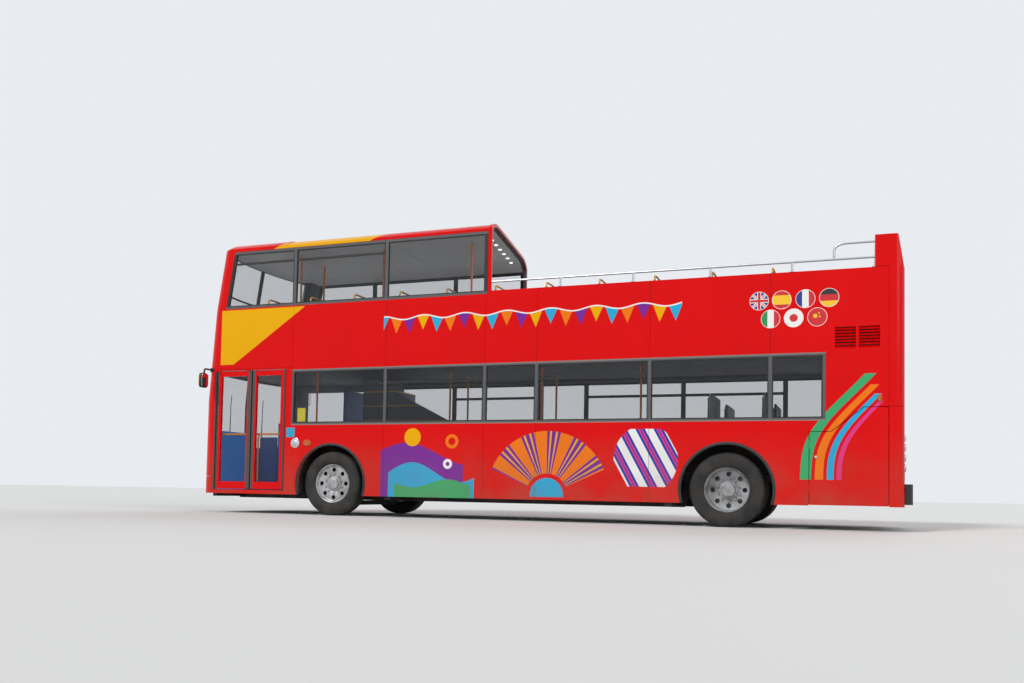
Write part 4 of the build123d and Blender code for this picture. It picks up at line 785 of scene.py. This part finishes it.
def swollen(shape, cap, frames=20):
    """The cushion after a cloth run with pressure inside and no gravity; no point moves further than the cap."""
    mesh = bpy.data.meshes.new("swell")
    mesh.from_pydata(shape[0].tolist(), [], shape[1])
    work = bmesh.new()
    work.from_mesh(mesh)
    bmesh.ops.remove_doubles(work, verts=work.verts, dist=2e-6)
    bmesh.ops.recalc_face_normals(work, faces=work.faces)
    work.to_mesh(mesh)
    work.free()
    trial = bpy.data.objects.new("swell", mesh)
    bpy.context.scene.collection.objects.link(trial)
    run = trial.modifiers.new("cloth", "CLOTH")
    run.settings.use_pressure = True
    run.settings.uniform_pressure_force = 4.0
    run.settings.effector_weights.gravity = 0.0
    run.point_cache.frame_end = frames
    for number in range(1, frames + 1):
        bpy.context.scene.frame_set(number)
    after = trial.evaluated_get(bpy.context.evaluated_depsgraph_get()).data
    start = np.array([tuple(v.co) for v in mesh.vertices])
    moved = np.array([tuple(v.co) for v in after.vertices]) - start
    reach = np.linalg.norm(moved, axis=1, keepdims=True)
    points = start + moved * np.minimum(1.0, cap / np.maximum(reach, 1e-9))
    faces = [list(face.vertices) for face in mesh.polygons]
    bpy.data.objects.remove(trial)
    bpy.context.scene.frame_set(1)
    return points, faces


cloth = Finish("seat_moquette", Sheen_Weight=0.3, Roughness=0.9)
weave = (cloth.x * 2400.0).sine() + (cloth.y * 2400.0).sine() * (cloth.z * 2400.0 + 1.0).sine()
cells = cloth.node("ShaderNodeTexVoronoi", {"feature": "F1"}, {"Vector": cloth.place, "Scale": 17.0})
figure = cloth.mix(cloth.grain(17.0, 0.0).over(0.5, 0.02), shade(214, 150, 40), shade(176, 40, 60))
cloth.colour = cloth.mix(cloth.grain(120.0, 3.0), shade(26, 34, 74), shade(42, 52, 98))
cloth.paint(cells.under(0.22, 0.03), figure)
cloth.feed(Base_Color=cloth.colour).relief(weave, 0.0004)
shell_grey = worn("seat_shell", (9.0, 4.0), (70, 72, 78), (90, 92, 98), (0.3, 0.4))
yellow_coat = worn("yellow_coat", (20.0, 4.0), (240, 172, 24), (214, 140, 20), (0.2, 0.3), (0.6, 0.2, 1.0),
                   Coat_Weight=0.4)
PAD_W, PLACE_W, GAP = 0.403, 0.435, 0.008
SEAT_UP, BACK_UP, GRIP_FOOT, GRIP_UP = 0.36, 0.96, 0.90, 0.125  # heights over the floor, and of a grab bar
LOWER_PITCH, UPPER_PITCH, LOWER_ROWS, UPPER_ROWS = 0.740, 0.757, 5, 11
seat_pad = swollen(cushion((-0.419, -PAD_W / 2, 0.024), (-0.018, PAD_W / 2, 0.066), 0.35), 0.012)
back_pad = swollen(cushion((-0.006, -PAD_W / 2, 0.066), (0.030, PAD_W / 2, 0.564), 0.30), 0.012)


def double_seat(x, y1, y2, floor, stand, places=2):
    """Pads, shell and leg of one seat; x is the front of its back. The pads are moved to their places and drawn
    out across the bus."""
    low, top = floor + SEAT_UP, floor + BACK_UP
    pads, hard = [], []
    width = (y2 - y1) / places
    for n in range(places):
        a, b = y1 + n * width + GAP, y1 + (n + 1) * width - GAP
        for points, faces in (seat_pad, back_pad):
            pads.append((points * [1, (b - a - 2 * GAP) / PAD_W, 1] + [x, (a + b) / 2, low], faces))
        hard.append(box_shape((x - 0.415, a, low), (x, b, low + 0.024)))
        hard.append(box_shape((x + 0.026, a - 0.004, low), (x + 0.058, b + 0.004, top), 0.012))
    middle = (y1 + y2) / 2
    hard.append(box_shape((x - 0.30, middle - 0.02, stand), (x - 0.07, middle + 0.02, low + 0.002), 0.006))
    hard.append(box_shape((x - 0.33, middle - 0.02, stand), (x - 0.04, middle + 0.02, stand + 0.012), 0.003))
    return pads, hard


WALL = 1.208
near_side, far_side = (-WALL, -WALL + 2 * PLACE_W), (WALL - 2 * PLACE_W, WALL)
PLATFORM, BOX_TOP, LOW_FLOOR, HIGH_FLOOR = 0.760, 1.0685, 0.360, 2.290
STEP_X, STAIR_FOOT, TOWER_X, BULKHEAD_X = 2.300, -1.300, 4.789, 4.260
lower_rows, upper_rows, handles = [], [], []
for x in (STEP_X - 0.695 - row * LOWER_PITCH for row in range(LOWER_ROWS)):
    sides = (near_side, far_side) if x - 0.43 > STAIR_FOOT + 0.05 else (near_side,)
    lower_rows += [(x, *ends, LOW_FLOOR, LOW_FLOOR) for ends in sides]
for x, stand in ((BULKHEAD_X - 0.075, PLATFORM), (REAR_X + 0.420, BOX_TOP), (REAR_X - 0.265, BOX_TOP)):
    lower_rows += [(x, *ends, PLATFORM, stand) for ends in (near_side, far_side)]
upper_x = [NOSE + 1.185 + row * UPPER_PITCH for row in range(UPPER_ROWS)]
foot, head = HIGH_FLOOR + GRIP_FOOT, HIGH_FLOOR + GRIP_FOOT + GRIP_UP
for x in upper_x:
    sides = (near_side, far_side) if x + 0.06 < -3.160 or x - 0.43 > -1.470 else (near_side,)
    for a, b in sides:
        upper_rows.append((x, a, b, HIGH_FLOOR, HIGH_FLOOR))
        for n in range(2):
            c, d = a + n * PLACE_W + 0.03, a + (n + 1) * PLACE_W - 0.03
            loop = [(x + 0.045, v, z) for v, z in ((c, foot), (c, head), (d, head), (d, foot))]
            handles.append(tube(bent(loop, 0.06), 0.013, (1, 0, 0)))
upper_rows.append((TOWER_X - 0.06, -WALL, WALL, HIGH_FLOOR, HIGH_FLOOR, 5))
for deck, rows in (("lower", lower_rows), ("upper", upper_rows)):
    seats = [double_seat(*row) for row in rows]
    cushions = lay(f"{deck}_seat_pads", [pad for seat in seats for pad in seat[0]], cloth, f"{deck}_seats",
                   crease=60)
    lay(f"{deck}_seat_shells", [part for seat in seats for part in seat[1]], shell_grey, f"{deck}_seats",
        crease=40)
lay("seat_grab_handles", handles, yellow_coat)

# Rails of the open deck: round stainless tube on short posts with flanges, raised to a bent hoop beside the rear
# tower; the ends are let into the roof hoop and the tower.
steel = worn("stainless_tube", (30.0, 3.0, (1, 1, 12)), (168, 170, 174), (206, 208, 211), (0.2, 0.2),
             Metallic=0.95)
flange = [(0.0, 0.0), (1.0, 0.0), (1.0, 0.5), (0.75, 0.8), (0.5, 1.0), (0.0, 1.0)]
RIM_TOP, RAIL_AT, HOOP_AT, HOOP_HIGH, RAIL_SIDE = 3.223, 3.352, 4.316, 3.544, 1.240
tubes = []
for y in (-RAIL_SIDE, RAIL_SIDE):
    hoop_path = bent([(HOOP_AT, y, RAIL_AT), (HOOP_AT, y, HOOP_HIGH), (TOWER_X, y, HOOP_HIGH)], 0.16, 10)
    for path in ([(x, y, RAIL_AT) for x in (slant_x(y) + 0.002, 1.0, TOWER_X)], hoop_path):
        tubes.append(tube(path, 0.015, (0, 1, 0), 16))
    for x in (OPEN_X + (n + 1) * 1.016 for n in range(4)):
        tubes.append(tube([(x, y, RIM_TOP + 0.002), (x, y, RAIL_AT)], 0.014, (0, 1, 0), 16))
        tubes.append(upright(flange, x, y, RIM_TOP, 0.034, 0.012))
lay("guard_rail_tubes", tubes, steel, "guard_rails")

# Mirrors: rounded black plastic housings with a yellow back and flat silvered glass toward the driver. Each
# hangs from a bent black tube, fixed to the front band by a small plate.
def pad(low, high, crown, square, steps=28):
    """Crowned pad in a box: a rounded box with point = half sign(c)|c|^square on each axis, swollen by the crown
    toward the middle of its widest face."""
    mid, half, thin, (one, two) = flat_box(low, high)
    u = np.linspace(-np.pi / 2, np.pi / 2, steps // 2 + 1)[:, None]
    v = np.linspace(-np.pi, np.pi, steps, endpoint=False)[None, :]
    bend = lambda w: np.sign(w) * np.abs(w) ** square
    a, b, c = bend(np.cos(u)) * bend(np.cos(v)), bend(np.cos(u)) * bend(np.sin(v)), bend(np.sin(u)) + 0 * v
    out = np.zeros(a.shape + (3,))
    out[..., one], out[..., two] = mid[one] + half[one] * a, mid[two] + half[two] * b
    out[..., thin] = mid[thin] + half[thin] * c * (1 - crown + crown * (1 - a ** 2) * (1 - b ** 2))
    return out, grid_faces(out.shape[0], out.shape[1], wrap_columns=True)


housing = Finish("mirror_housing", Coat_Weight=0.3)
grainy = housing.grain(220.0, 2.0)
back = housing.x.under(-4.966, 0.004) * housing.z.between(1.945, 2.146)
housing.feed(Base_Color=housing.mix(back, shade(24, 24, 25), YELLOW), Roughness=grainy * 0.2 + 0.35)
housing.relief(grainy, 0.0003)
silvered = worn("mirror_glass", (2.0,), (214, 220, 224), (226, 231, 234), (0.02, 0.01), second=(4.0,),
                Metallic=1.0, Specular_IOR_Level=0.5)
heads, plates = [], []
for side in (-1, 1):
    near, far = sorted((side * 1.375, side * 1.555))
    foot_near, foot_far = sorted((side * 1.259, side * 1.267))
    arm = [(-4.955, side * 1.236, 2.230), (-4.955, side * 1.450, 2.230), (-4.955, side * 1.450, 2.150)]
    heads += [pad((-4.990, near, 1.930), (-4.922, far, 2.160), 0.10, 0.42),
              tube(bent(arm, 0.05, 8), 0.014, (1, 0, 0), 16),
              box_shape((-4.985, foot_near, 2.195), (-4.925, foot_far, 2.262), 0.003)]
    plates.append(pad((-4.930, near + 0.014, 1.946), (-4.9195, far - 0.014, 2.144), 0.0, 0.28))
lay("mirror_housings", heads, housing, "mirrors")
lay("mirror_glasses", plates, silvered)

# Lamps: turned bezels and lenses. Clear main lamps with small amber indicators at the front, four round lamps
# in a column on each rear corner, amber markers on the sides and a round bright cover behind the entrance.
LAMP_Z, TAIL_Y = 0.760, 1.030


def facing(rows, centre, axis, out, steps=32, size=1.0, depth=1.0, lift=0.0, wide=1.0, tall=1.0):
    """Turned shape facing along an axis: rows (r, d) give point = centre + size r around the axis, and
    depth d + lift out along it."""
    a = np.linspace(0, 2 * np.pi, steps, endpoint=False)
    shape = []
    for r, d in rows:
        ring = np.zeros((steps, 3))
        ring[:, axis] = centre[axis] + out * (d * depth + lift)
        ring[:, 1 - axis] = centre[1 - axis] + r * size * wide * np.cos(a)
        ring[:, 2] = centre[2] + r * size * tall * np.sin(a)
        shape.append(ring)
    return np.stack(shape), grid_faces(len(rows), steps, wrap_columns=True)


def nose_x(y, z=1.0):
    """Station of the bowed nose at a distance across and a height."""
    return NOSE + float(lean_back(z)) + BOW - math.sqrt(BOW ** 2 - y ** 2)


def ribbed(name, wave, dark, light, edge, least, depth, **fixed):
    """Lens finish: colour, roughness and relief follow a wave, a function of the finish."""
    finish = Finish(name, **fixed)
    rib = wave(finish)
    colour = finish.mix(rib.over(*edge), shade(*dark), shade(*light))
    return finish.feed(Base_Color=colour, Roughness=rib * 0.05 + least).relief(rib, depth)


chrome = worn("bright_bezel", (12.0,), (190, 193, 198), (222, 224, 228), (0.12, 0.08), second=(40.0, 3.0),
              Metallic=1.0)
clear_lens = ribbed("clear_lens", lambda f: (f.y * 420.0).sine(), (178, 184, 190), (240, 242, 246), (0.2, 0.6),
                    0.12, 0.0015, Coat_Weight=1.0)
amber_lens = ribbed("amber_lens", lambda f: (f.z * 700.0).sine(), (166, 70, 2), (214, 108, 6), (0.0, 0.8), 0.16,
                    0.0010, Coat_Weight=0.3, Specular_IOR_Level=0.3)
tail_lens = Finish("tail_lens", Coat_Weight=1.0)
cube = (tail_lens.z * 620.0).sine() * (tail_lens.y * 620.0).sine()
tail_lens.colour = tail_lens.mix(tail_lens.z.over(0.967), shade(140, 2, 6), shade(242, 132, 12))
tail_lens.paint(tail_lens.z.over(1.092), shade(226, 228, 230))
tail_lens.paint(cube.over(0.0, 0.8) * 0.3, shade(20, 10, 10))
tail_lens.feed(Base_Color=tail_lens.colour, Roughness=cube * 0.05 + 0.14).relief(cube, 0.0010)
dome = [(1.0, -0.6), (1.0, 0.45), (0.92, 0.75), (0.75, 0.93), (0.45, 1.0), (0.0, 1.0)]
bezel = [(0.90, -0.6), (1.0, -0.6), (1.0, 0.7), (0.97, 0.95), (0.93, 1.0), (0.90, 0.8), (0.90, -0.6)]
bezels, clear, amber, tails = [], [], [], []
for side in (-1, 1):
    for y, radius, lenses in ((0.880, 0.092, clear), (0.660, 0.056, amber)):
        spot = (nose_x(y), side * y, LAMP_Z)
        bezels.append(facing(bezel, spot, 0, -1, 32, radius, 0.013, 0.002))
        lenses.append(facing(dome, spot, 0, -1, 32, radius * 0.91, 0.010, 0.001))
    for z in (0.780 + 0.125 * n for n in range(4)):
        bezels.append(facing(bezel, (TAIL, side * TAIL_Y, z), 0, 1, 32, 0.052, 0.012))
        tails.append(facing(dome, (TAIL, side * TAIL_Y, z), 0, 1, 32, 0.047, 0.020))
    amber.append(facing(dome, (-3.181, side * HALF, 1.079), 1, side, 32, 0.072, 0.014, tall=0.66))
    amber.append(facing(dome, (4.848, side * HALF, 1.617), 1, side, 24, 0.050, 0.012, wide=0.55))
for radius, depth, lift in ((0.075, 0.010, 0.0), (0.045, 0.014, 0.003)):
    bezels.append(facing(dome, (-3.392, -HALF, 1.079), 1, -1, 40, radius, depth, lift))
lay("lamp_bezels", bezels, chrome, "front_lamps")
lay("head_lenses", clear, clear_lens, "front_lamps")
lay("side_lenses", amber, amber_lens)
lay("tail_lenses", tails, tail_lens, "rear_lamps")

# Wheel arch lips: black rubber strips of a flattened D section, pressed over the cut edge of the skirt from its
# foot before the wheel to its foot behind it.
def arch_lip(x, radius, side, steps=60):
    """Profile of a flattened D carried round an arch: point = (x + (R + a) cos t, y, z + (R + a) sin t)."""
    a, y = np.array([(-0.008, 1.2590), (-0.008, 1.2640), (-0.004, 1.2680), (0.010, 1.2695), (0.024, 1.2670),
                     (0.030, 1.2610), (0.030, 1.2590)]).T
    low = math.asin((AXLE_Z - 0.304) / radius)
    t = np.linspace(-low, np.pi + low, steps)[:, None]
    across = np.broadcast_to(side * y, (steps, len(y)))
    verts = np.stack([x + (radius + a) * np.cos(t), across, AXLE_Z + (radius + a) * np.sin(t)], -1)
    ends = [np.repeat(verts[n].mean(0)[None, None], len(y), 1) for n in (0, -1)]
    return np.concatenate([ends[0], verts, ends[1]]), grid_faces(steps + 2, len(y), wrap_columns=True)


lips = [arch_lip(x, radius, side) for x, radius in ((FRONT_X, 0.570), (REAR_X, 0.582)) for side in (-1, 1)]
lay("wheel_arch_lips", lips, black_rubber)

# Wipers: two black arms that stand upright on the lower screen, each with a rubber blade along it and a round
# cap over its spindle.
wipers = []
rises = ((1.035, -0.004), (1.10, -0.004), (1.30, 0.0), (1.56, 0.004))
for y in (-0.440, 0.440):
    arm = [(nose_x(y) - 0.004 + d, y, z) for z, d in rises]
    blade = [(nose_x(y, z) + 0.003, y, z) for z in (1.20, 1.40, 1.60, 1.75, 1.92)]
    wipers += [tube(path, 0.006, (0, 1, 0), 8) for path in (arm, blade)]
    wipers.append(facing(dome, (nose_x(y), y, 1.035), 0, -1, 20, 0.024, 0.012))
lay("wipers", wipers, black_rubber)

# Front grille: seven black moulded bars one over another, let into the lower front panel and bowed in plan as
# it is.
def across_nose(half_width, steps, lines):
    """Grid of points on the nose: each line (height, distance before the nose at 1 m) runs across it."""
    y = np.linspace(-half_width, half_width, steps)
    return level_lines([([nose_x(v) - d for v in y], y) for z, d in lines], [z for z, d in lines])


slats = []
for z in (0.640 + n * 0.030 for n in range(7)):
    outer = across_nose(0.50, 25, [(z + h, d) for d, h in ((-0.004, 0.0), (0.0032, 0.004), (0.0032, 0.012),
                                                           (-0.004, 0.018))])
    slats.append(thick_sheet(outer, outer + np.array([0.006, 0, 0])))
lay("front_grille", slats, black_rubber)

# Sheets: number plates, a square beside the entrance and a notice in the first window, all left blank, and seven
# round flag signs near the tail for the languages of the tour.
def sheet_finish(name, *colour):
    """Flat printed sheet of one colour with slight fading."""
    return worn(name, (5.0, 3.0), colour, [part * 0.93 for part in colour], (0.2, 0.3), Specular_IOR_Level=0.4)


face = across_nose(0.26, 13, [(0.375, 0.002), (0.486, 0.002)])
lay("number_plate_front", thick_sheet(face, face + np.array([0.003, 0, 0])),
    sheet_finish("plate_white", 236, 236, 232))
lay("number_plate_rear", box_shape((5.129, -0.26, 1.585), (5.1325, 0.26, 1.696), 0.001),
    sheet_finish("plate_yellow", 240, 196, 30))
lay("entrance_square", box_shape((-3.553, -1.2618, 1.167), (-3.407, -1.2590, 1.313), 0.001),
    sheet_finish("sign_blue", 50, 166, 210))
lay("window_notice", box_shape((-3.376, -1.2440, 1.405), (-3.236, -1.2425, 1.610), 0.0005),
    sheet_finish("notice_yellow", 255, 238, 50))
flags = Finish("flag_signs", Coat_Weight=0.5)
x, z = flags.x, flags.z
FLAG_R, FLAG_CELL, HIGH_ROW, LOW_ROW = 0.118, 0.262, 2.875, 2.640
cream, navy_blue, flag_red = shade(240, 240, 236), shade(20, 44, 130), shade(206, 16, 30)
gold, flag_black, flag_green = shade(250, 196, 20), shade(18, 18, 20), shade(20, 140, 70)


def bands(u, first, second, third, half=FLAG_R / 3):
    """Three bands across a direction."""
    return flags.mix(u.over(half), flags.mix(u.over(-half), first, second), third)


def spotted(colour, over, *spots):
    """Round spots (x, z, radius) of one colour on another."""
    for spot in spots:
        colour = flags.mix(disc_of(flags, *spot), colour, over)
    return colour


u, v = abs(x - 3.419), abs(z - HIGH_ROW)
cross, diagonal = x.maths("MINIMUM", u, v), abs(u - v)
flags.colour = navy_blue
for arm, paint in ((diagonal.under(0.024), cream), (diagonal.under(0.008), flag_red),
                   (cross.under(0.025), cream), (cross.under(0.016), flag_red)):
    flags.paint(arm, paint)
signs = {(3.419, HIGH_ROW): None,
         (3.695, HIGH_ROW): bands(z - HIGH_ROW, flag_red, gold, flag_red, FLAG_R / 2),
         (3.980, HIGH_ROW): bands(x - 3.980, navy_blue, cream, flag_red),
         (4.261, HIGH_ROW): bands(z - HIGH_ROW, gold, flag_red, flag_black),
         (3.561, LOW_ROW): bands(x - 3.561, flag_green, cream, flag_red),
         (3.840, LOW_ROW): spotted(cream, flag_red, (3.840, LOW_ROW, 0.050)),
         (4.122, LOW_ROW): spotted(flag_red, gold, (4.098, LOW_ROW + 0.014, 0.026),
                                   (4.142, LOW_ROW + 0.046, 0.010), (4.152, LOW_ROW + 0.004, 0.010))}
inside = None
for (cx, cz), colour in signs.items():
    if colour:
        flags.paint(x.near(cx, FLAG_CELL) * z.near(cz, FLAG_CELL), colour)
    within = disc_of(flags, cx, cz, 0.112, 0.002)
    inside = inside + within if inside else within
flags.feed(Base_Color=flags.mix(inside, cream, flags.colour), Roughness=flags.grain(20.0, 2.0) * 0.1 + 0.2)
flat_disc = [(0.0, -0.002), (FLAG_R, -0.002), (FLAG_R, 0.0012), (0.0, 0.0012)]
rounds = [facing(flat_disc, (cx, side * HALF, cz), 1, side, 48) for cx, cz in signs for side in (-1, 1)]
lay("flag_signs", rounds, flags)

# Cab and entrance: sprung driver's seat with the saloon's cloth, turned steering ring, and a low navy panel
# with an orange tube frame before the first seats.
SEAT_Y = 0.740
sprung = [swollen(cushion(*ends, 0.35), 0.014) for ends in (((-4.062, 0.513, 0.798), (-3.608, 0.967, 0.864)),
                                                            ((-3.614, 0.523, 0.862), (-3.528, 0.957, 1.392)),
                                                            ((-3.604, 0.628, 1.400), (-3.538, 0.852, 1.538)))]
lay("driver_seat_pads", sprung, cloth, "driver_seat", crease=60)
folds = [(0.14 - 0.012 * (n % 2), 0.03 + n * 0.024) for n in range(15)]
rows = [(0.0, 0.0), (0.17, 0.0), (0.17, 0.03), *folds, (0.0, 0.385)]
bellows = upright(rows, -3.825, SEAT_Y, LOW_FLOOR, 0.9, 1.0, 24)
stand = [bellows, box_shape((-4.060, 0.520, 0.742), (-3.600, 0.960, 0.800), 0.012),
         box_shape((-3.545, 0.530, 0.760), (-3.507, 0.950, 1.400), 0.014)]
lay("driver_seat_base", stand, moulded, "driver_seat")
hub, across = np.array([-4.6166, SEAT_Y, 1.1332]), np.array([0.0, 1.0, 0.0])
tilt = np.array(Vector((0.45, 0, 0.89)).normalized())
along = np.array([tilt[2], 0, -tilt[0]])
RING_R, RING_T = 0.221, 0.013
a = np.linspace(0, 2 * np.pi, 64, endpoint=False)[:, None]
b = np.linspace(0, 2 * np.pi, 12, endpoint=False)[None, :]
radial = np.cos(a)[..., None] * along + np.sin(a)[..., None] * across
ring = hub + tilt * RING_T + radial * (RING_R + RING_T * np.cos(b))[..., None]
ring = ring + tilt * (RING_T * np.sin(b))[..., None]
rows = [(0.0, -0.020), (0.060, -0.020), (0.066, 0.004), (0.056, 0.022), (0.0, 0.026)]
boss = np.stack([hub + tilt * h + radial[:, 0] * r for r, h in rows])
wheel = [(ring, grid_faces(64, 12, wrap_rows=True, wrap_columns=True)),
         (boss, grid_faces(5, 64, wrap_columns=True)),
         tube([hub - tilt * 0.015, (-4.672, SEAT_Y, 1.085), (-4.730, SEAT_Y, 1.035)], 0.030, (0, 1, 0), 16)]
wheel += [tube([hub + tilt * 0.010 + way * 0.05, hub + tilt * RING_T + way * 0.214], 0.010, tilt, 10)
          for way in (across, -across, along)]
lay("steering_ring", wheel, moulded, "steering_wheel")
navy = worn("navy_laminate", (180.0, 2.0), (18, 24, 60), (28, 34, 76), (0.2, 0.35))
lay("entrance_screen", box_shape((-3.440, -1.195, 0.460), (-3.424, -0.640, 1.150), 0.004), navy)
turns = ((-1.200, 0.370), (-1.200, 1.180), (-0.620, 1.180), (-0.620, 0.360))
loop = bent([(-3.432, y, z) for y, z in turns], 0.07)
loop = [tube(path, 0.015, (1, 0, 0)) for path in (loop, [(-3.432, -0.620, 1.170), (-3.432, -0.620, 2.228)])]
lay("entrance_screen_frame", loop, orange_coat)

# Trim round the entrance and the tail: a drip rail over the doors, a bent bar on the rear leaf, a black plate
# behind the louvres, catches on the engine's covers and red reflectors.
lay("drip_rail", box_shape((-4.800, -1.2680, 2.228), (-3.500, -1.2590, 2.246), 0.003), front_gloss)
lay("louvre_back", box_shape((4.325, -1.219, 2.236), (4.855, -1.214, 2.507), 0.001), black_rubber)
bar = bent([(-4.112, -1.180, 0.500), (-4.112, -1.180, 1.222), (-3.680, -1.180, 1.222)], 0.07, 9)
lay("door_rear_bar", tube(bar, 0.013, (0, 1, 0), 14), orange_coat, None, "door_rear")
catches = [pad((5.136, y - 0.05, 0.700), (5.150, y + 0.05, 0.735), 0.0, 0.4, 20) for y in (-0.62, 0.62)]
lay("engine_cover_catches", catches, black_rubber, None, "engine_cover")
lay("engine_flap_catch", facing(dome, (4.110, -HALF, 0.900), 1, -1, 20, 0.016, 0.006), chrome, None,
    "engine_flap")
reflectors = [facing(dome, (TAIL, y, 0.655), 0, 1, 24, 0.036, 0.006) for y in (-TAIL_Y, TAIL_Y)]
lay("rear_reflectors", reflectors, tail_lens)

# Inside the nose and the upper deck: blue and navy lining below the screen, a rounded blue box in the
# entrance corner, the cab's front panel, a dark guard behind the upper screen, poles and the bars of the upper
# side windows.
# Every piece of this lining glows in its own blue or navy: painted light that brightens the dim nose, since none
# of them is a lamp.
nose_lining = Finish("nose_lining", Emission_Strength=0.28)
nose_lining.colour = nose_lining.mix(nose_lining.y.over(-0.25), shade(40, 124, 214), shade(26, 38, 90))
fleck = nose_lining.grain(190.0, 2.0)
nose_lining.paint(fleck * 0.3, shade(60, 110, 170))
nose_lining.feed(Base_Color=nose_lining.colour, Emission_Color=nose_lining.colour, Roughness=fleck * 0.2 + 0.3)
px, py = bowed_line(0.0, 0.046)
face = level_lines([(np.minimum(px, -4.905), py)] * 4, (0.362, 0.60, 0.85, 1.078))
linings = [thick_sheet(face, face + np.array([0.005, 0, 0])),
           pad((-5.032, -1.130, 0.362), (-4.900, -0.300, 1.290), 0.0, 0.16, 36),
           box_shape((-5.090, 0.236, 0.362), (-4.745, 0.258, 1.260), 0.004)]
lay("nose_lining", linings, nose_lining)
guard = [(nose_x(y, 3.46) + 0.075, y, 3.46) for y in np.linspace(-1.13, 1.13, 23)]
lay("upper_screen_guard", tube(guard, 0.015, (0, 0, 1), 14), black_rubber)
poles = []
top = crown_height(HALF - 0.36) - 0.064
for x in (at + 0.075 for at in upper_x[:5:2]):
    for side in (-1, 1):
        if side < 0 or x < -3.2 or x > -1.5:
            path = [(x, side * 0.345, z) for z in (HIGH_FLOOR + 0.001, 3.2, top)]
            poles.append(tube(path, 0.016, (1, 0, 0), 14))
lay("upper_poles", poles, orange_coat)
vents = [box_shape((x1, y1, 3.868), (x2, y2, 3.900), 0.0006) for x1, x2 in ((-4.572, -3.511), (-3.441, -1.943))
         for y1, y2 in ((-1.2540, -1.2515), (-1.2445, -1.2340))]
lay("upper_vent_bars", vents, black_rubber)
